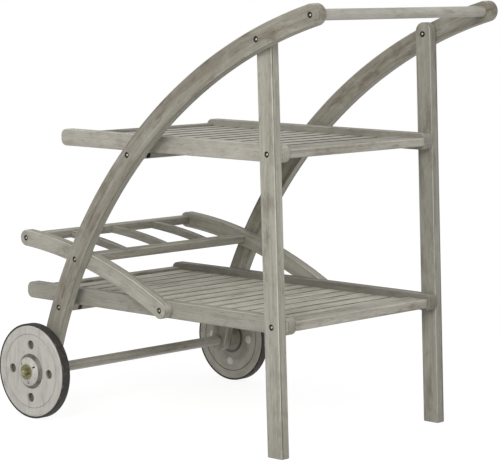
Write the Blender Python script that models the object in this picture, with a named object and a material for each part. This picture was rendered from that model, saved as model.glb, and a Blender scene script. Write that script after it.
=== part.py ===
"""A wooden tea cart: two curved bows, two legs, two slatted shelves, a bottle rack and two wheels.

Metres. +X points to the handle, -Y is the left side of someone who pushes the cart and +Z is up.
The origin is on the floor, under the middle of the cart's bounding box. Below, x is measured from
the middle of the legs' feet, and the empty cart_datum carries everything to its place.
"""

import math

import bmesh
import bpy
from mathutils import Matrix, Vector

# Clearances and drawing tolerances
SEAT_GAP = 0.0003
RUNNING_CLEARANCE = 0.0001
CUT_OVERRUN = 0.002
MERGE_DISTANCE = 0.00002

# Widths across the cart, from the outside in
CART_WIDTH_OVER_BOWS = 0.5656
BOW_THICKNESS = 0.0220
LEG_THICKNESS = 0.0228
SHELF_RAIL_THICKNESS = 0.0239

# Wheels and axle
WHEEL_RADIUS = 0.1021
TYRE_DEPTH = 0.0042
TYRE_SHOULDER = 0.0012
WHEEL_WIDTH = 0.0194
WHEEL_TO_BOW_GAP = 0.0202
DISC_FACE_PROUD = 0.0010
DISC_LIP_WIDTH = 0.0022
DISC_GROOVE_TO_RIM = 0.0184
DISC_GROOVE_WIDTH = 0.0030
DISC_GROOVE_DEPTH = 0.0010
HUB_BASE_RADIUS = 0.0372
HUB_TOP_RADIUS = 0.0205
HUB_SHOULDER_RADIUS = 0.0300
HUB_SHOULDER_HEIGHT = 0.0075
HUB_OUTER_HEIGHT = 0.0119
HUB_INNER_RADIUS = 0.0225
HUB_END_PLAY = 0.0005
DIMPLE_COUNT = 4
DIMPLE_RADIUS = 0.0090
DIMPLE_DEPTH = 0.0085
DIMPLE_OFF_WEB_MIDDLE = 0.00135
AXLE_ROD_RADIUS = 0.0040
AXLE_BEAM_RADIUS = 0.0110
AXLE_BEAM_DROP = 0.0025
AXLE_WASHER_RADIUS = 0.0163
AXLE_WASHER_THICKNESS = 0.0016
CAP_NUT_ACROSS_FLATS = 0.0130
CAP_NUT_HEX_HEIGHT = 0.0062
CAP_NUT_DOME_RADIUS = 0.0056
CAP_NUT_DOME_HEIGHT = 0.0050
ROD_END_IN_NUT = 0.0070

# Bows: an arc through the axle and the handle
AXLE_TO_FOOT = 0.6454
HANDLE_PAST_FOOT = 0.1018
HANDLE_HEIGHT = 0.8738
HANDLE_RADIUS = 0.0111
BOW_RADIUS = 1.0693
BOW_DEPTH = 0.0428
BOW_TOP_PAST_HANDLE = 0.0240
BOW_FOOT_PAST_AXLE = 0.0280
BOARD_EDGE_ROUNDING = 0.0018

# Legs
LEG_DEPTH = 0.0385
LEG_TOP_BOLT_BELOW_HANDLE = 0.0494
LEG_PAST_TOP_BOLT = 0.0246

# Shelves
SHELF_RAIL_HEIGHT = 0.0353
SHELF_RAIL_CORNER = 0.0140
UPPER_RAIL_BASE = 0.5826
UPPER_RAIL_LENGTH = 0.6338
UPPER_RAIL_PAST_LEG_BOLT = 0.0211
LOWER_RAIL_BASE = 0.2430
LOWER_RAIL_LENGTH = 0.7630
LOWER_RAIL_PAST_LEG_BOLT = 0.0252
UPPER_SLAT_TOP_BELOW_RAIL_TOP = 0.0150
LOWER_SLAT_TOP_BELOW_RAIL_TOP = 0.0158
SLAT_THICKNESS = 0.0120
SLAT_WIDTH = 0.0395
UPPER_SLAT_GAP = 0.0055
LOWER_SLAT_GAP = 0.0053
SLAT_TOP_ROUNDING = 0.0018
TONGUE_SHOULDER = 0.0030
TONGUE_LENGTH = 0.0070
END_PIECE_ABOVE_SLATS = 0.0055
UPPER_END_RAIL_WIDTH = 0.0180
UPPER_END_RAIL_INSET = 0.0015
LOWER_END_RAIL_WIDTH = 0.0220
LOWER_END_RAIL_INSET = 0.0032
UPPER_END_BOARD_WIDTH = 0.0745
UPPER_END_BOARD_INSET = 0.0038
UPPER_END_BOARD_BELOW_SLATS = 0.0004
LOWER_END_BOARD_WIDTH = 0.0511
LOWER_END_BOARD_INSET = 0.0089
LOWER_END_BOARD_BELOW_SLATS = 0.0022
END_PIECE_ROUNDING = 0.0030

# Stretchers under the shelves
STRETCHER_WIDTH = 0.0220
STRETCHER_HEIGHT = 0.0160
STRETCHER_ROUNDING = 0.0045
STRETCHER_TILT = math.radians(20.0)
UPPER_STRETCHER_BELOW_SLATS = 0.0028
UPPER_STRETCHER_OFF_BOW_LINE = 0.0055
LOWER_STRETCHER_BELOW_SLATS = 0.0007
LOWER_STRETCHER_OFF_BOW_LINE = 0.0

# Bottle rack
RACK_BOLT_HEIGHT = 0.3482
RACK_RADIUS = 1.0499
RACK_RAIL_DEPTH = 0.0348
RACK_FRONT_BOLT_TO_BOW_BOLT = 0.1795
RACK_REAR_BOLT_TO_BOW_BOLT = 0.2455
RACK_BAR_SIZE = 0.0190
RACK_BAR_ROUNDING = 0.0030
DIVIDER_COUNT = 3
DIVIDER_PITCH = 0.1256
DIVIDER_THICKNESS = 0.0150
DIVIDER_HEIGHT = 0.0165
DIVIDER_BELOW_FRONT_BAR_TOP = 0.0030
DIVIDER_BELOW_BACK_BAR_TOP = 0.0015
DIVIDER_ROUNDING = 0.0015

# Connector bolts and nuts
BOLT_RADIUS = 0.0030
BOLT_HEAD_RADIUS = 0.0047
BOLT_HEAD_HEIGHT = 0.0030
BOLT_HEAD_EDGE = 0.0018
BOLT_HEAD_DEPTH = 0.0030
COUNTERBORE_RADIUS = 0.0063
BOLT_LENGTH = 0.0600
RACK_REAR_BOLT_LENGTH = 0.0330
BARREL_NUT_RADIUS = 0.0060
BARREL_NUT_TO_BOLT_TIP = 0.0040
CLOSED_NUT_RADIUS = 0.0063
CLOSED_NUT_HEIGHT = 0.0030
CLOSED_NUT_EDGE = 0.0010
CLOSED_NUT_WALL = 0.0012

# Facets
WHEEL_SIDES = 36
ROD_SIDES = 20
DOWEL_SIDES = 24
BOLT_SIDES = 10
DIMPLE_SIDES = 10
BOW_STEPS = 20
RACK_RAIL_STEPS = 8
DIVIDER_STEPS = 4
ROUND_END_STEPS = 7
CORNER_STEPS = 2

# Heights and places that follow from the sizes above
BOW_OUTER = CART_WIDTH_OVER_BOWS / 2
BOW_INNER = BOW_OUTER - BOW_THICKNESS
LEG_INNER = BOW_INNER - LEG_THICKNESS
RAIL_INNER = LEG_INNER - SHELF_RAIL_THICKNESS
WHEEL_INNER = BOW_OUTER + WHEEL_TO_BOW_GAP
WHEEL_OUTER = WHEEL_INNER + WHEEL_WIDTH
DISC_FACE = WHEEL_OUTER + DISC_FACE_PROUD
HUB_OUTER = DISC_FACE + HUB_OUTER_HEIGHT
WASHER_INNER = HUB_OUTER + HUB_END_PLAY
WASHER_OUTER = WASHER_INNER + AXLE_WASHER_THICKNESS
NUT_INNER = WASHER_OUTER + SEAT_GAP
HOLE_RADIUS = BOLT_RADIUS + SEAT_GAP
DISC_GROOVE_RADIUS = WHEEL_RADIUS - TYRE_DEPTH - DISC_GROOVE_TO_RIM
DIMPLE_CIRCLE_RADIUS = (HUB_BASE_RADIUS + DISC_GROOVE_RADIUS) / 2 - DIMPLE_OFF_WEB_MIDDLE

AXLE = Vector((-AXLE_TO_FOOT, WHEEL_RADIUS))
HANDLE = Vector((HANDLE_PAST_FOOT, HANDLE_HEIGHT))

SIDES = {"left": -1, "right": 1}

WEATHERED = (0.42, 0.40, 0.36, 1.0)
WEATHERED_PALE = (0.50, 0.48, 0.44, 1.0)
WEATHERED_WARM = (0.40, 0.36, 0.32, 1.0)


def bow_centre():
    """Centre of the bow's arc, which passes through the axle and the handle."""
    chord = HANDLE - AXLE
    middle = (HANDLE + AXLE) / 2
    below = Vector((chord.y, -chord.x)).normalized()
    return middle + below * math.sqrt(BOW_RADIUS ** 2 - (chord.length / 2) ** 2)


def on_bow(height, outwards=0.0):
    """Point of the bow's middle line at a height, or of a line further out."""
    centre = bow_centre()
    rise = height - centre.y
    return Vector((centre.x - math.sqrt((BOW_RADIUS + outwards) ** 2 - rise ** 2), height))


LEG_TOP_BOLT = on_bow(HANDLE_HEIGHT - LEG_TOP_BOLT_BELOW_HANDLE)
RACK_BOW_BOLT = on_bow(RACK_BOLT_HEIGHT)
LEG_DIRECTION = LEG_TOP_BOLT.normalized()


def on_leg(height):
    """Point of the leg's middle line at a height."""
    return LEG_DIRECTION * (height / LEG_DIRECTION.y)


def arc(centre, radius, start, end, steps):
    """Points of an arc in the x, z plane, both ends included."""
    points = []
    for step in range(steps + 1):
        angle = start + (end - start) * step / steps
        points.append(centre + Vector((math.cos(angle), math.sin(angle))) * radius)
    return points


def rounded_box(low, high, radius, steps):
    """Outline of a box with rounded corners, counter-clockwise in the x, z plane."""
    quarter = math.pi / 2
    corners = [
        Vector((high.x - radius, high.y - radius)),
        Vector((low.x + radius, high.y - radius)),
        Vector((low.x + radius, low.y + radius)),
        Vector((high.x - radius, low.y + radius)),
    ]
    points = []
    for index, corner in enumerate(corners):
        points += arc(corner, radius, index * quarter, (index + 1) * quarter, steps)
    return points


def turned_outline(points, centre, angle):
    """Outline moved to a centre and turned clockwise as seen from the left side."""
    across = Vector((math.cos(angle), -math.sin(angle)))
    up = Vector((math.sin(angle), math.cos(angle)))
    return [centre + across * point.x + up * point.y for point in points]


def bar_section(width, height, rounding, steps=CORNER_STEPS):
    half = Vector((width / 2, height / 2))
    return rounded_box(-half, half, rounding, steps)


def loft(rings):
    """Closed mesh through rings of points, with a flat cap at each end."""
    mesh = bmesh.new()
    loops = [[mesh.verts.new(point) for point in ring] for ring in rings]
    count = len(loops[0])
    for first, second in zip(loops, loops[1:]):
        for index in range(count):
            following = (index + 1) % count
            mesh.faces.new((first[index], first[following], second[following], second[index]))
    mesh.faces.new(loops[0])
    mesh.faces.new(loops[-1])
    bmesh.ops.recalc_face_normals(mesh, faces=mesh.faces)
    return mesh


def ring_at(outline, y):
    return [(point.x, y, point.y) for point in outline]


def board(outline, y_low, y_high):
    """Flat board cut to an outline in the x, z plane."""
    return loft([ring_at(outline, y_low), ring_at(outline, y_high)])


def turned(profile, sides, closed=False):
    """Solid turned about the Y axis from (radius, y) points."""
    mesh = bmesh.new()
    verts = [mesh.verts.new((radius, y, 0.0)) for radius, y in profile]
    pairs = list(zip(verts, verts[1:]))
    if closed:
        pairs.append((verts[-1], verts[0]))
    edges = [mesh.edges.new(pair) for pair in pairs]
    bmesh.ops.spin(
        mesh, geom=verts + edges, cent=(0.0, 0.0, 0.0), axis=(0.0, 1.0, 0.0),
        dvec=(0.0, 0.0, 0.0), angle=math.tau, steps=sides, use_merge=True, use_duplicate=False)
    bmesh.ops.remove_doubles(mesh, verts=mesh.verts, dist=MERGE_DISTANCE)
    bmesh.ops.recalc_face_normals(mesh, faces=mesh.faces)
    return mesh


def merged(meshes):
    """Several closed meshes as separate bodies of one mesh."""
    together = bmesh.new()
    for mesh in meshes:
        data = bpy.data.meshes.new("piece")
        mesh.to_mesh(data)
        mesh.free()
        together.from_mesh(data)
        bpy.data.meshes.remove(data)
    return together


def moved(mesh, x=0.0, y=0.0, z=0.0):
    bmesh.ops.translate(mesh, verts=mesh.verts, vec=(x, y, z))
    return mesh


def along_y(mesh, side):
    """Mesh drawn for the right side, or the same mesh handed for the left."""
    if side < 0:
        bmesh.ops.rotate(mesh, verts=mesh.verts, cent=(0.0, 0.0, 0.0),
                         matrix=Matrix.Rotation(math.pi, 3, "X"))
        bmesh.ops.recalc_face_normals(mesh, faces=mesh.faces)
    return mesh


def own_material(name, colour, roughness, metallic):
    material = bpy.data.materials.new(name)
    material.use_nodes = True
    shader = material.node_tree.nodes["Principled BSDF"]
    shader.inputs["Base Color"].default_value = colour
    shader.inputs["Roughness"].default_value = roughness
    shader.inputs["Metallic"].default_value = metallic
    material.diffuse_color = colour
    return material


def add_object(name, mesh, colour, roughness=0.75, metallic=0.0, location=(0.0, 0.0, 0.0)):
    """Named object under the cart's datum, with a material of its own."""
    data = bpy.data.meshes.new(name)
    mesh.to_mesh(data)
    mesh.free()
    data.materials.append(own_material(name, colour, roughness, metallic))
    thing = bpy.data.objects.new(name, data)
    bpy.context.scene.collection.objects.link(thing)
    thing.parent = bpy.data.objects["cart_datum"]
    thing.location = location
    return thing


def add_cutter(name, mesh):
    cutter = add_object(name, mesh, WEATHERED)
    cutter.hide_render = True
    cutter.display_type = "WIRE"
    return cutter


def cut(thing, cutter):
    boolean = thing.modifiers.new("cut_" + cutter.name, "BOOLEAN")
    boolean.operation = "DIFFERENCE"
    boolean.solver = "EXACT"
    boolean.object = cutter


def join(thing, addition):
    boolean = thing.modifiers.new("join_" + addition.name, "BOOLEAN")
    boolean.operation = "UNION"
    boolean.solver = "EXACT"
    boolean.object = addition


def round_edges(thing, width, segments=2):
    bevel = thing.modifiers.new("rounded_edges", "BEVEL")
    bevel.width = width
    bevel.segments = segments
    bevel.limit_method = "ANGLE"
    bevel.angle_limit = math.radians(50.0)


def shade_round(thing, angle=40.0):
    thing.data.shade_smooth()
    thing.data.set_sharp_from_angle(angle=math.radians(angle))


def bow_outline():
    """Curved board with a round foot below the axle and a round-cornered top end."""
    centre = bow_centre()
    handle_angle = (HANDLE - centre).angle_signed(Vector((1.0, 0.0)))
    axle_angle = (AXLE - centre).angle_signed(Vector((1.0, 0.0)))
    half = BOW_DEPTH / 2
    top_angle = handle_angle - (BOW_TOP_PAST_HANDLE - half) / BOW_RADIUS
    foot_angle = axle_angle + (BOW_FOOT_PAST_AXLE - half) / BOW_RADIUS
    outer = arc(centre, BOW_RADIUS + half, top_angle, foot_angle, BOW_STEPS)
    inner = arc(centre, BOW_RADIUS - half, foot_angle, top_angle, BOW_STEPS)
    foot = arc(centre, BOW_RADIUS, foot_angle, foot_angle, 1)[0]
    top = arc(centre, BOW_RADIUS, top_angle, top_angle, 1)[0]
    foot_end = arc(foot, half, foot_angle, foot_angle + math.pi, ROUND_END_STEPS)
    top_end = arc(top, half, top_angle - math.pi, top_angle, ROUND_END_STEPS)
    return outer + foot_end[1:-1] + inner + top_end[1:-1]


def leg_outline():
    """Straight board with a level foot and a round top."""
    half = LEG_DEPTH / 2
    across = Vector((LEG_DIRECTION.y, -LEG_DIRECTION.x))
    foot_half = half / LEG_DIRECTION.y
    top = LEG_TOP_BOLT + LEG_DIRECTION * (LEG_PAST_TOP_BOLT - half)
    start = math.atan2(across.y, across.x)
    crown = arc(top, half, start, start + math.pi, ROUND_END_STEPS)
    return [Vector((-foot_half, 0.0)), Vector((foot_half, 0.0))] + crown


class Shelf:
    """Places of one shelf's pieces along the cart."""

    def __init__(self, name, base, length, past_leg_bolt, slat_drop, slat_gap, end_rail, end_board):
        self.name = name
        self.base = base
        self.top = base + SHELF_RAIL_HEIGHT
        self.bolt = on_leg(base + SHELF_RAIL_HEIGHT / 2)
        self.high_x = self.bolt.x + past_leg_bolt
        self.low_x = self.high_x - length
        self.slat_top = self.top - slat_drop
        self.slat_base = self.slat_top - SLAT_THICKNESS
        self.slat_gap = slat_gap
        rail_width, rail_inset = end_rail
        board_width, board_inset, self.end_board_below = end_board
        self.end_rail = (self.low_x + rail_inset, self.low_x + rail_inset + rail_width)
        self.end_board = (self.high_x - board_inset - board_width, self.high_x - board_inset)

    def slats(self):
        """Low and high x of each slat, from the end board to the end rail."""
        places = []
        high = self.end_board[0] - self.slat_gap
        stop = self.end_rail[1]
        while high - SLAT_WIDTH >= stop + SEAT_GAP:
            places.append((high - SLAT_WIDTH, high))
            high -= SLAT_WIDTH + self.slat_gap
        ripped = stop + self.slat_gap
        if high - ripped > SLAT_WIDTH / 2:
            places.append((ripped, high))
        return places


UPPER_SHELF = Shelf(
    "upper", UPPER_RAIL_BASE, UPPER_RAIL_LENGTH, UPPER_RAIL_PAST_LEG_BOLT,
    UPPER_SLAT_TOP_BELOW_RAIL_TOP, UPPER_SLAT_GAP,
    (UPPER_END_RAIL_WIDTH, UPPER_END_RAIL_INSET),
    (UPPER_END_BOARD_WIDTH, UPPER_END_BOARD_INSET, UPPER_END_BOARD_BELOW_SLATS))
LOWER_SHELF = Shelf(
    "lower", LOWER_RAIL_BASE, LOWER_RAIL_LENGTH, LOWER_RAIL_PAST_LEG_BOLT,
    LOWER_SLAT_TOP_BELOW_RAIL_TOP, LOWER_SLAT_GAP,
    (LOWER_END_RAIL_WIDTH, LOWER_END_RAIL_INSET),
    (LOWER_END_BOARD_WIDTH, LOWER_END_BOARD_INSET, LOWER_END_BOARD_BELOW_SLATS))


def stretcher_centre(shelf, below_slats, off_bow_line):
    """Middle of the stretcher whose highest edge lies a little below the shelf's slats."""
    section = bar_section(STRETCHER_WIDTH, STRETCHER_HEIGHT, STRETCHER_ROUNDING)
    reach = max(point.y for point in turned_outline(section, Vector((0.0, 0.0)), STRETCHER_TILT))
    return on_bow(shelf.slat_base - below_slats - reach, off_bow_line)


UPPER_STRETCHER = stretcher_centre(UPPER_SHELF, UPPER_STRETCHER_BELOW_SLATS, UPPER_STRETCHER_OFF_BOW_LINE)
LOWER_STRETCHER = stretcher_centre(LOWER_SHELF, LOWER_STRETCHER_BELOW_SLATS, LOWER_STRETCHER_OFF_BOW_LINE)


def rack_centre():
    """Centre of the rack rails' arc, whose rear bolt meets the lower shelf's rail in its middle."""
    drop = RACK_BOW_BOLT.y - LOWER_SHELF.bolt.y
    chord = RACK_REAR_BOLT_TO_BOW_BOLT
    chord_angle = -math.asin(drop / chord)
    half_turn = math.asin(chord / (2 * RACK_RADIUS))
    radial = chord_angle + math.pi / 2 + half_turn
    return RACK_BOW_BOLT - Vector((math.cos(radial), math.sin(radial))) * RACK_RADIUS


def on_rack(chord):
    """Point of the rack rail's middle line at a straight distance from the bow bolt."""
    centre = rack_centre()
    spoke = RACK_BOW_BOLT - centre
    turn = -2 * math.asin(chord / (2 * RACK_RADIUS))
    turned_spoke = Matrix.Rotation(turn, 2) @ spoke
    return centre + turned_spoke


RACK_FRONT = on_rack(-RACK_FRONT_BOLT_TO_BOW_BOLT)
RACK_REAR = on_rack(RACK_REAR_BOLT_TO_BOW_BOLT)


def rack_tilt(point):
    """Slope of the rack rail at a point of its middle line, positive downhill to the handle."""
    spoke = point - rack_centre()
    return math.atan2(spoke.x, spoke.y)


def rack_rail_outline():
    """Curved board whose round ends are centred on its end bolts."""
    centre = rack_centre()
    half = RACK_RAIL_DEPTH / 2
    front = math.pi / 2 - rack_tilt(RACK_FRONT)
    rear = math.pi / 2 - rack_tilt(RACK_REAR)
    outer = arc(centre, RACK_RADIUS + half, rear, front, RACK_RAIL_STEPS)
    inner = arc(centre, RACK_RADIUS - half, front, rear, RACK_RAIL_STEPS)
    front_end = arc(RACK_FRONT, half, front, front + math.pi, ROUND_END_STEPS)
    rear_end = arc(RACK_REAR, half, rear - math.pi, rear, ROUND_END_STEPS)
    return outer + front_end[1:-1] + inner + rear_end[1:-1]


def leg_top_bolt_length():
    """Length under the head of the bolt through bow and leg, which ends inside the closed nut."""
    nut_floor = LEG_INNER - CLOSED_NUT_HEIGHT + CLOSED_NUT_WALL
    return BOW_OUTER - BOLT_HEAD_DEPTH - nut_floor - SEAT_GAP


def bolts_of(carrier):
    """Middle and length of each bolt whose head sits in this piece, and the y of the outer face."""
    if carrier == "bow":
        through_bow = (HANDLE, UPPER_STRETCHER, RACK_BOW_BOLT, LOWER_STRETCHER)
        bolts = [(centre, BOLT_LENGTH) for centre in through_bow]
        return bolts + [(LEG_TOP_BOLT, leg_top_bolt_length())], BOW_OUTER
    if carrier == "leg":
        return [(shelf.bolt, BOLT_LENGTH) for shelf in (UPPER_SHELF, LOWER_SHELF)], BOW_INNER - SEAT_GAP
    return [(RACK_FRONT, BOLT_LENGTH), (RACK_REAR, RACK_REAR_BOLT_LENGTH)], BOW_INNER - SEAT_GAP


def pin(radius, low, high, sides=BOLT_SIDES):
    return turned([(0.0, low), (radius, low), (radius, high), (0.0, high)], sides)


def bolt(face, length):
    """Connector bolt with a low domed head at the bottom of its counterbore."""
    seat = face - BOLT_HEAD_DEPTH
    base = seat - SEAT_GAP
    crown = seat + BOLT_HEAD_HEIGHT
    return turned([
        (0.0, seat - length),
        (BOLT_RADIUS, seat - length),
        (BOLT_RADIUS, base),
        (BOLT_HEAD_RADIUS, base),
        (BOLT_HEAD_RADIUS, seat + BOLT_HEAD_EDGE),
        (BOLT_HEAD_RADIUS / 2, crown),
        (0.0, crown),
    ], BOLT_SIDES)


def at(point, mesh, side):
    """Mesh drawn about the Y axis for the right side, put at a point of one side."""
    return moved(along_y(mesh, side), x=point.x, z=point.y)


def make_bolt_tools():
    """For each piece that carries bolts: its bolts, their counterbores, and the holes they need."""
    for carrier in ("bow", "leg", "rack_side_rail"):
        bolts, face = bolts_of(carrier)
        seat = face - BOLT_HEAD_DEPTH
        for side_name, side in SIDES.items():
            label = carrier + "_" + side_name
            add_cutter("bolts_" + label, merged([at(c, bolt(face, long), side) for c, long in bolts]))
            bores = [at(c, pin(COUNTERBORE_RADIUS, seat, face + CUT_OVERRUN), side) for c, long in bolts]
            add_cutter("counterbores_" + label, merged(bores))
            holes = [at(c, pin(HOLE_RADIUS, seat - long - SEAT_GAP, seat), side) for c, long in bolts]
            add_cutter("holes_" + label, merged(holes))


def fit_bolts(thing):
    """Cut the counterbores of the bolts that this piece carries, and seat the bolts in them."""
    cut(thing, bpy.data.objects["counterbores_" + thing.name])
    join(thing, bpy.data.objects["bolts_" + thing.name])


def clear_bolts(thing, carrier):
    """Cut the holes for the bolts that come in from both sides through another piece."""
    for side_name in SIDES:
        cut(thing, bpy.data.objects["holes_" + carrier + "_" + side_name])


def closed_nut():
    """Low round nut over the bolt's tip, on the leg's inner face."""
    inside = LEG_INNER - CLOSED_NUT_HEIGHT
    return turned([
        (0.0, inside),
        (CLOSED_NUT_RADIUS - CLOSED_NUT_EDGE, inside),
        (CLOSED_NUT_RADIUS, inside + CLOSED_NUT_EDGE),
        (CLOSED_NUT_RADIUS, LEG_INNER + CLOSED_NUT_HEIGHT),
        (0.0, LEG_INNER + CLOSED_NUT_HEIGHT),
    ], BOLT_SIDES)


def barrel_nut_hole():
    """Hole along the stretcher's width, drilled from its handle-side face past the bolt."""
    face = STRETCHER_WIDTH / 2
    hole = pin(BARREL_NUT_RADIUS + SEAT_GAP, BOLT_RADIUS - face, face + CUT_OVERRUN)
    bmesh.ops.rotate(hole, verts=hole.verts, cent=(0.0, 0.0, 0.0),
                     matrix=Matrix.Rotation(-math.pi / 2, 3, "Z"))
    bmesh.ops.rotate(hole, verts=hole.verts, cent=(0.0, 0.0, 0.0),
                     matrix=Matrix.Rotation(STRETCHER_TILT, 3, "Y"))
    return hole


def make_sides():
    """Bows and legs of both sides, with the bolts that are driven through them."""
    reach = BOW_OUTER + CUT_OVERRUN
    axle_hole = pin(AXLE_ROD_RADIUS + SEAT_GAP, -reach, reach, ROD_SIDES)
    axle_hole = add_cutter("axle_hole", moved(axle_hole, x=AXLE.x, z=AXLE.y))
    for side_name, side in SIDES.items():
        bow = add_object("bow_" + side_name, board(bow_outline(), side * BOW_INNER, side * BOW_OUTER),
                         WEATHERED)
        round_edges(bow, BOARD_EDGE_ROUNDING)
        cut(bow, axle_hole)
        fit_bolts(bow)
        shade_round(bow)
        leg_outer = BOW_INNER - SEAT_GAP
        leg = add_object("leg_" + side_name, board(leg_outline(), side * LEG_INNER, side * leg_outer),
                         WEATHERED_PALE)
        round_edges(leg, BOARD_EDGE_ROUNDING)
        join(leg, add_cutter("closed_nut_" + side_name, at(LEG_TOP_BOLT, closed_nut(), side)))
        cut(leg, bpy.data.objects["holes_bow_" + side_name])
        fit_bolts(leg)
        shade_round(leg)
    return axle_hole


def make_handle_and_axle(axle_hole):
    """Round handle, round axle beam that hangs a little below the axle, and the steel rod through it."""
    reach = BOW_INNER - SEAT_GAP
    beam = AXLE - Vector((0.0, AXLE_BEAM_DROP))
    for name, centre, radius in (("handle", HANDLE, HANDLE_RADIUS), ("axle_beam", beam, AXLE_BEAM_RADIUS)):
        dowel = add_object(name, pin(radius, -reach, reach, DOWEL_SIDES), WEATHERED_PALE,
                           location=(centre.x, 0.0, centre.y))
        shade_round(dowel)
    cut(bpy.data.objects["axle_beam"], axle_hole)
    clear_bolts(bpy.data.objects["handle"], "bow")
    rod_end = NUT_INNER + ROD_END_IN_NUT
    rod = add_object("axle_rod", pin(AXLE_ROD_RADIUS, -rod_end, rod_end, ROD_SIDES),
                     (0.55, 0.55, 0.53, 1.0), 0.35, 1.0, (AXLE.x, 0.0, AXLE.y))
    shade_round(rod)


def make_stretchers():
    """Cross bars under the shelves. They lie turned, to shed water, and hold barrel nuts."""
    section = bar_section(STRETCHER_WIDTH, STRETCHER_HEIGHT, STRETCHER_ROUNDING)
    reach = BOW_INNER - SEAT_GAP
    nut_y = BOW_OUTER - BOLT_HEAD_DEPTH - BOLT_LENGTH + BARREL_NUT_TO_BOLT_TIP + BARREL_NUT_RADIUS
    for name, centre in (("upper_stretcher", UPPER_STRETCHER), ("lower_stretcher", LOWER_STRETCHER)):
        outline = turned_outline(section, centre, STRETCHER_TILT)
        bar = add_object(name, board(outline, -reach, reach), WEATHERED_WARM)
        nut_holes = [moved(barrel_nut_hole(), centre.x, nut_y * side, centre.y) for side in SIDES.values()]
        cut(bar, add_cutter(name + "_nut_holes", merged(nut_holes)))
        clear_bolts(bar, "bow")
        shade_round(bar)


def make_shelf_rails(shelf, stretcher_centre):
    """Side rails, housed over the stretcher, with a groove for the slats' tongues."""
    outline = rounded_box(Vector((shelf.low_x, shelf.base)), Vector((shelf.high_x, shelf.top)),
                          SHELF_RAIL_CORNER, CORNER_STEPS + 1)
    section = bar_section(STRETCHER_WIDTH + 2 * SEAT_GAP, STRETCHER_HEIGHT + 2 * SEAT_GAP,
                          STRETCHER_ROUNDING + SEAT_GAP)
    housing_outline = turned_outline(section, stretcher_centre, STRETCHER_TILT)
    housing = add_cutter(shelf.name + "_housing",
                         board(housing_outline, -BOW_INNER, BOW_INNER))
    groove_reach = RAIL_INNER + TONGUE_LENGTH + SEAT_GAP
    groove_low = Vector((shelf.end_rail[0] + TONGUE_SHOULDER - SEAT_GAP,
                         shelf.slat_base + TONGUE_SHOULDER - SEAT_GAP))
    groove_high = Vector((shelf.end_board[0], shelf.slat_top - TONGUE_SHOULDER + SEAT_GAP))
    groove_outline = [groove_low, Vector((groove_high.x, groove_low.y)), groove_high,
                      Vector((groove_low.x, groove_high.y))]
    groove = add_cutter(shelf.name + "_groove", board(groove_outline, -groove_reach, groove_reach))
    for side_name, side in SIDES.items():
        rail_outer = LEG_INNER - SEAT_GAP
        rail = add_object(shelf.name + "_side_rail_" + side_name,
                          board(outline, side * RAIL_INNER, side * rail_outer), WEATHERED_PALE)
        round_edges(rail, BOARD_EDGE_ROUNDING)
        cut(rail, housing)
        cut(rail, groove)
        cut(rail, bpy.data.objects["holes_leg_" + side_name])
        cut(rail, bpy.data.objects["holes_rack_side_rail_" + side_name])
        shade_round(rail)


def tongued_piece(low_x, high_x, base, top, tongue_base, tongue_top):
    """Cross piece with eased top edges and a thin tongue at each end."""
    ease = SLAT_TOP_ROUNDING
    body = [Vector((low_x, base)), Vector((high_x, base)), Vector((high_x, top - ease)),
            Vector((high_x - ease, top)), Vector((low_x + ease, top)), Vector((low_x, top - ease))]
    tongue_low = low_x + TONGUE_SHOULDER
    tongue_high = high_x - TONGUE_SHOULDER
    eased_top = tongue_top - ease / 2
    tongue = [Vector((tongue_low, tongue_base)), Vector((tongue_high, tongue_base)),
              Vector((tongue_high, eased_top)), Vector((tongue_high - ease / 2, tongue_top)),
              Vector((tongue_low + ease / 2, tongue_top)), Vector((tongue_low, eased_top))]
    shoulder = RAIL_INNER - SEAT_GAP
    tip = RAIL_INNER + TONGUE_LENGTH
    return loft([ring_at(tongue, -tip), ring_at(tongue, -shoulder), ring_at(body, -shoulder),
                 ring_at(body, shoulder), ring_at(tongue, shoulder), ring_at(tongue, tip)])


def make_shelf_deck(shelf):
    """Slats, the end rail that closes the deck at the wheel end and the board at the leg end."""
    tongue_base = shelf.slat_base + TONGUE_SHOULDER
    tongue_top = shelf.slat_top - TONGUE_SHOULDER
    raised_top = shelf.slat_top + END_PIECE_ABOVE_SLATS
    for number, (low_x, high_x) in enumerate(shelf.slats(), start=1):
        slat = tongued_piece(low_x, high_x, shelf.slat_base, shelf.slat_top, tongue_base, tongue_top)
        add_object(f"{shelf.name}_slat_{number:02d}", slat, WEATHERED_PALE)
    low_x, high_x = shelf.end_rail
    end_rail = tongued_piece(low_x, high_x, shelf.slat_base, raised_top, tongue_base, tongue_top)
    add_object(shelf.name + "_end_rail", end_rail, WEATHERED)
    low_x, high_x = shelf.end_board
    base = shelf.slat_base - shelf.end_board_below
    outline = rounded_box(Vector((low_x, base)), Vector((high_x, raised_top)), END_PIECE_ROUNDING, 2)
    reach = RAIL_INNER - SEAT_GAP
    end_board = add_object(shelf.name + "_end_board", board(outline, -reach, reach), WEATHERED)
    clear_bolts(end_board, "leg")
    shade_round(end_board)


def divider_faces():
    """For the front and the back bar: a point at the dividers' top, and the face's direction."""
    half = RACK_BAR_SIZE / 2
    faces = []
    for centre, side, below in ((RACK_FRONT, 1, DIVIDER_BELOW_FRONT_BAR_TOP),
                                (RACK_BOW_BOLT, -1, DIVIDER_BELOW_BACK_BAR_TOP)):
        tilt = rack_tilt(centre)
        corner = turned_outline([Vector((side * half, half - below))], centre, tilt)[0]
        faces.append((corner, Vector((math.cos(tilt), -math.sin(tilt)))))
    return faces


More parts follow.
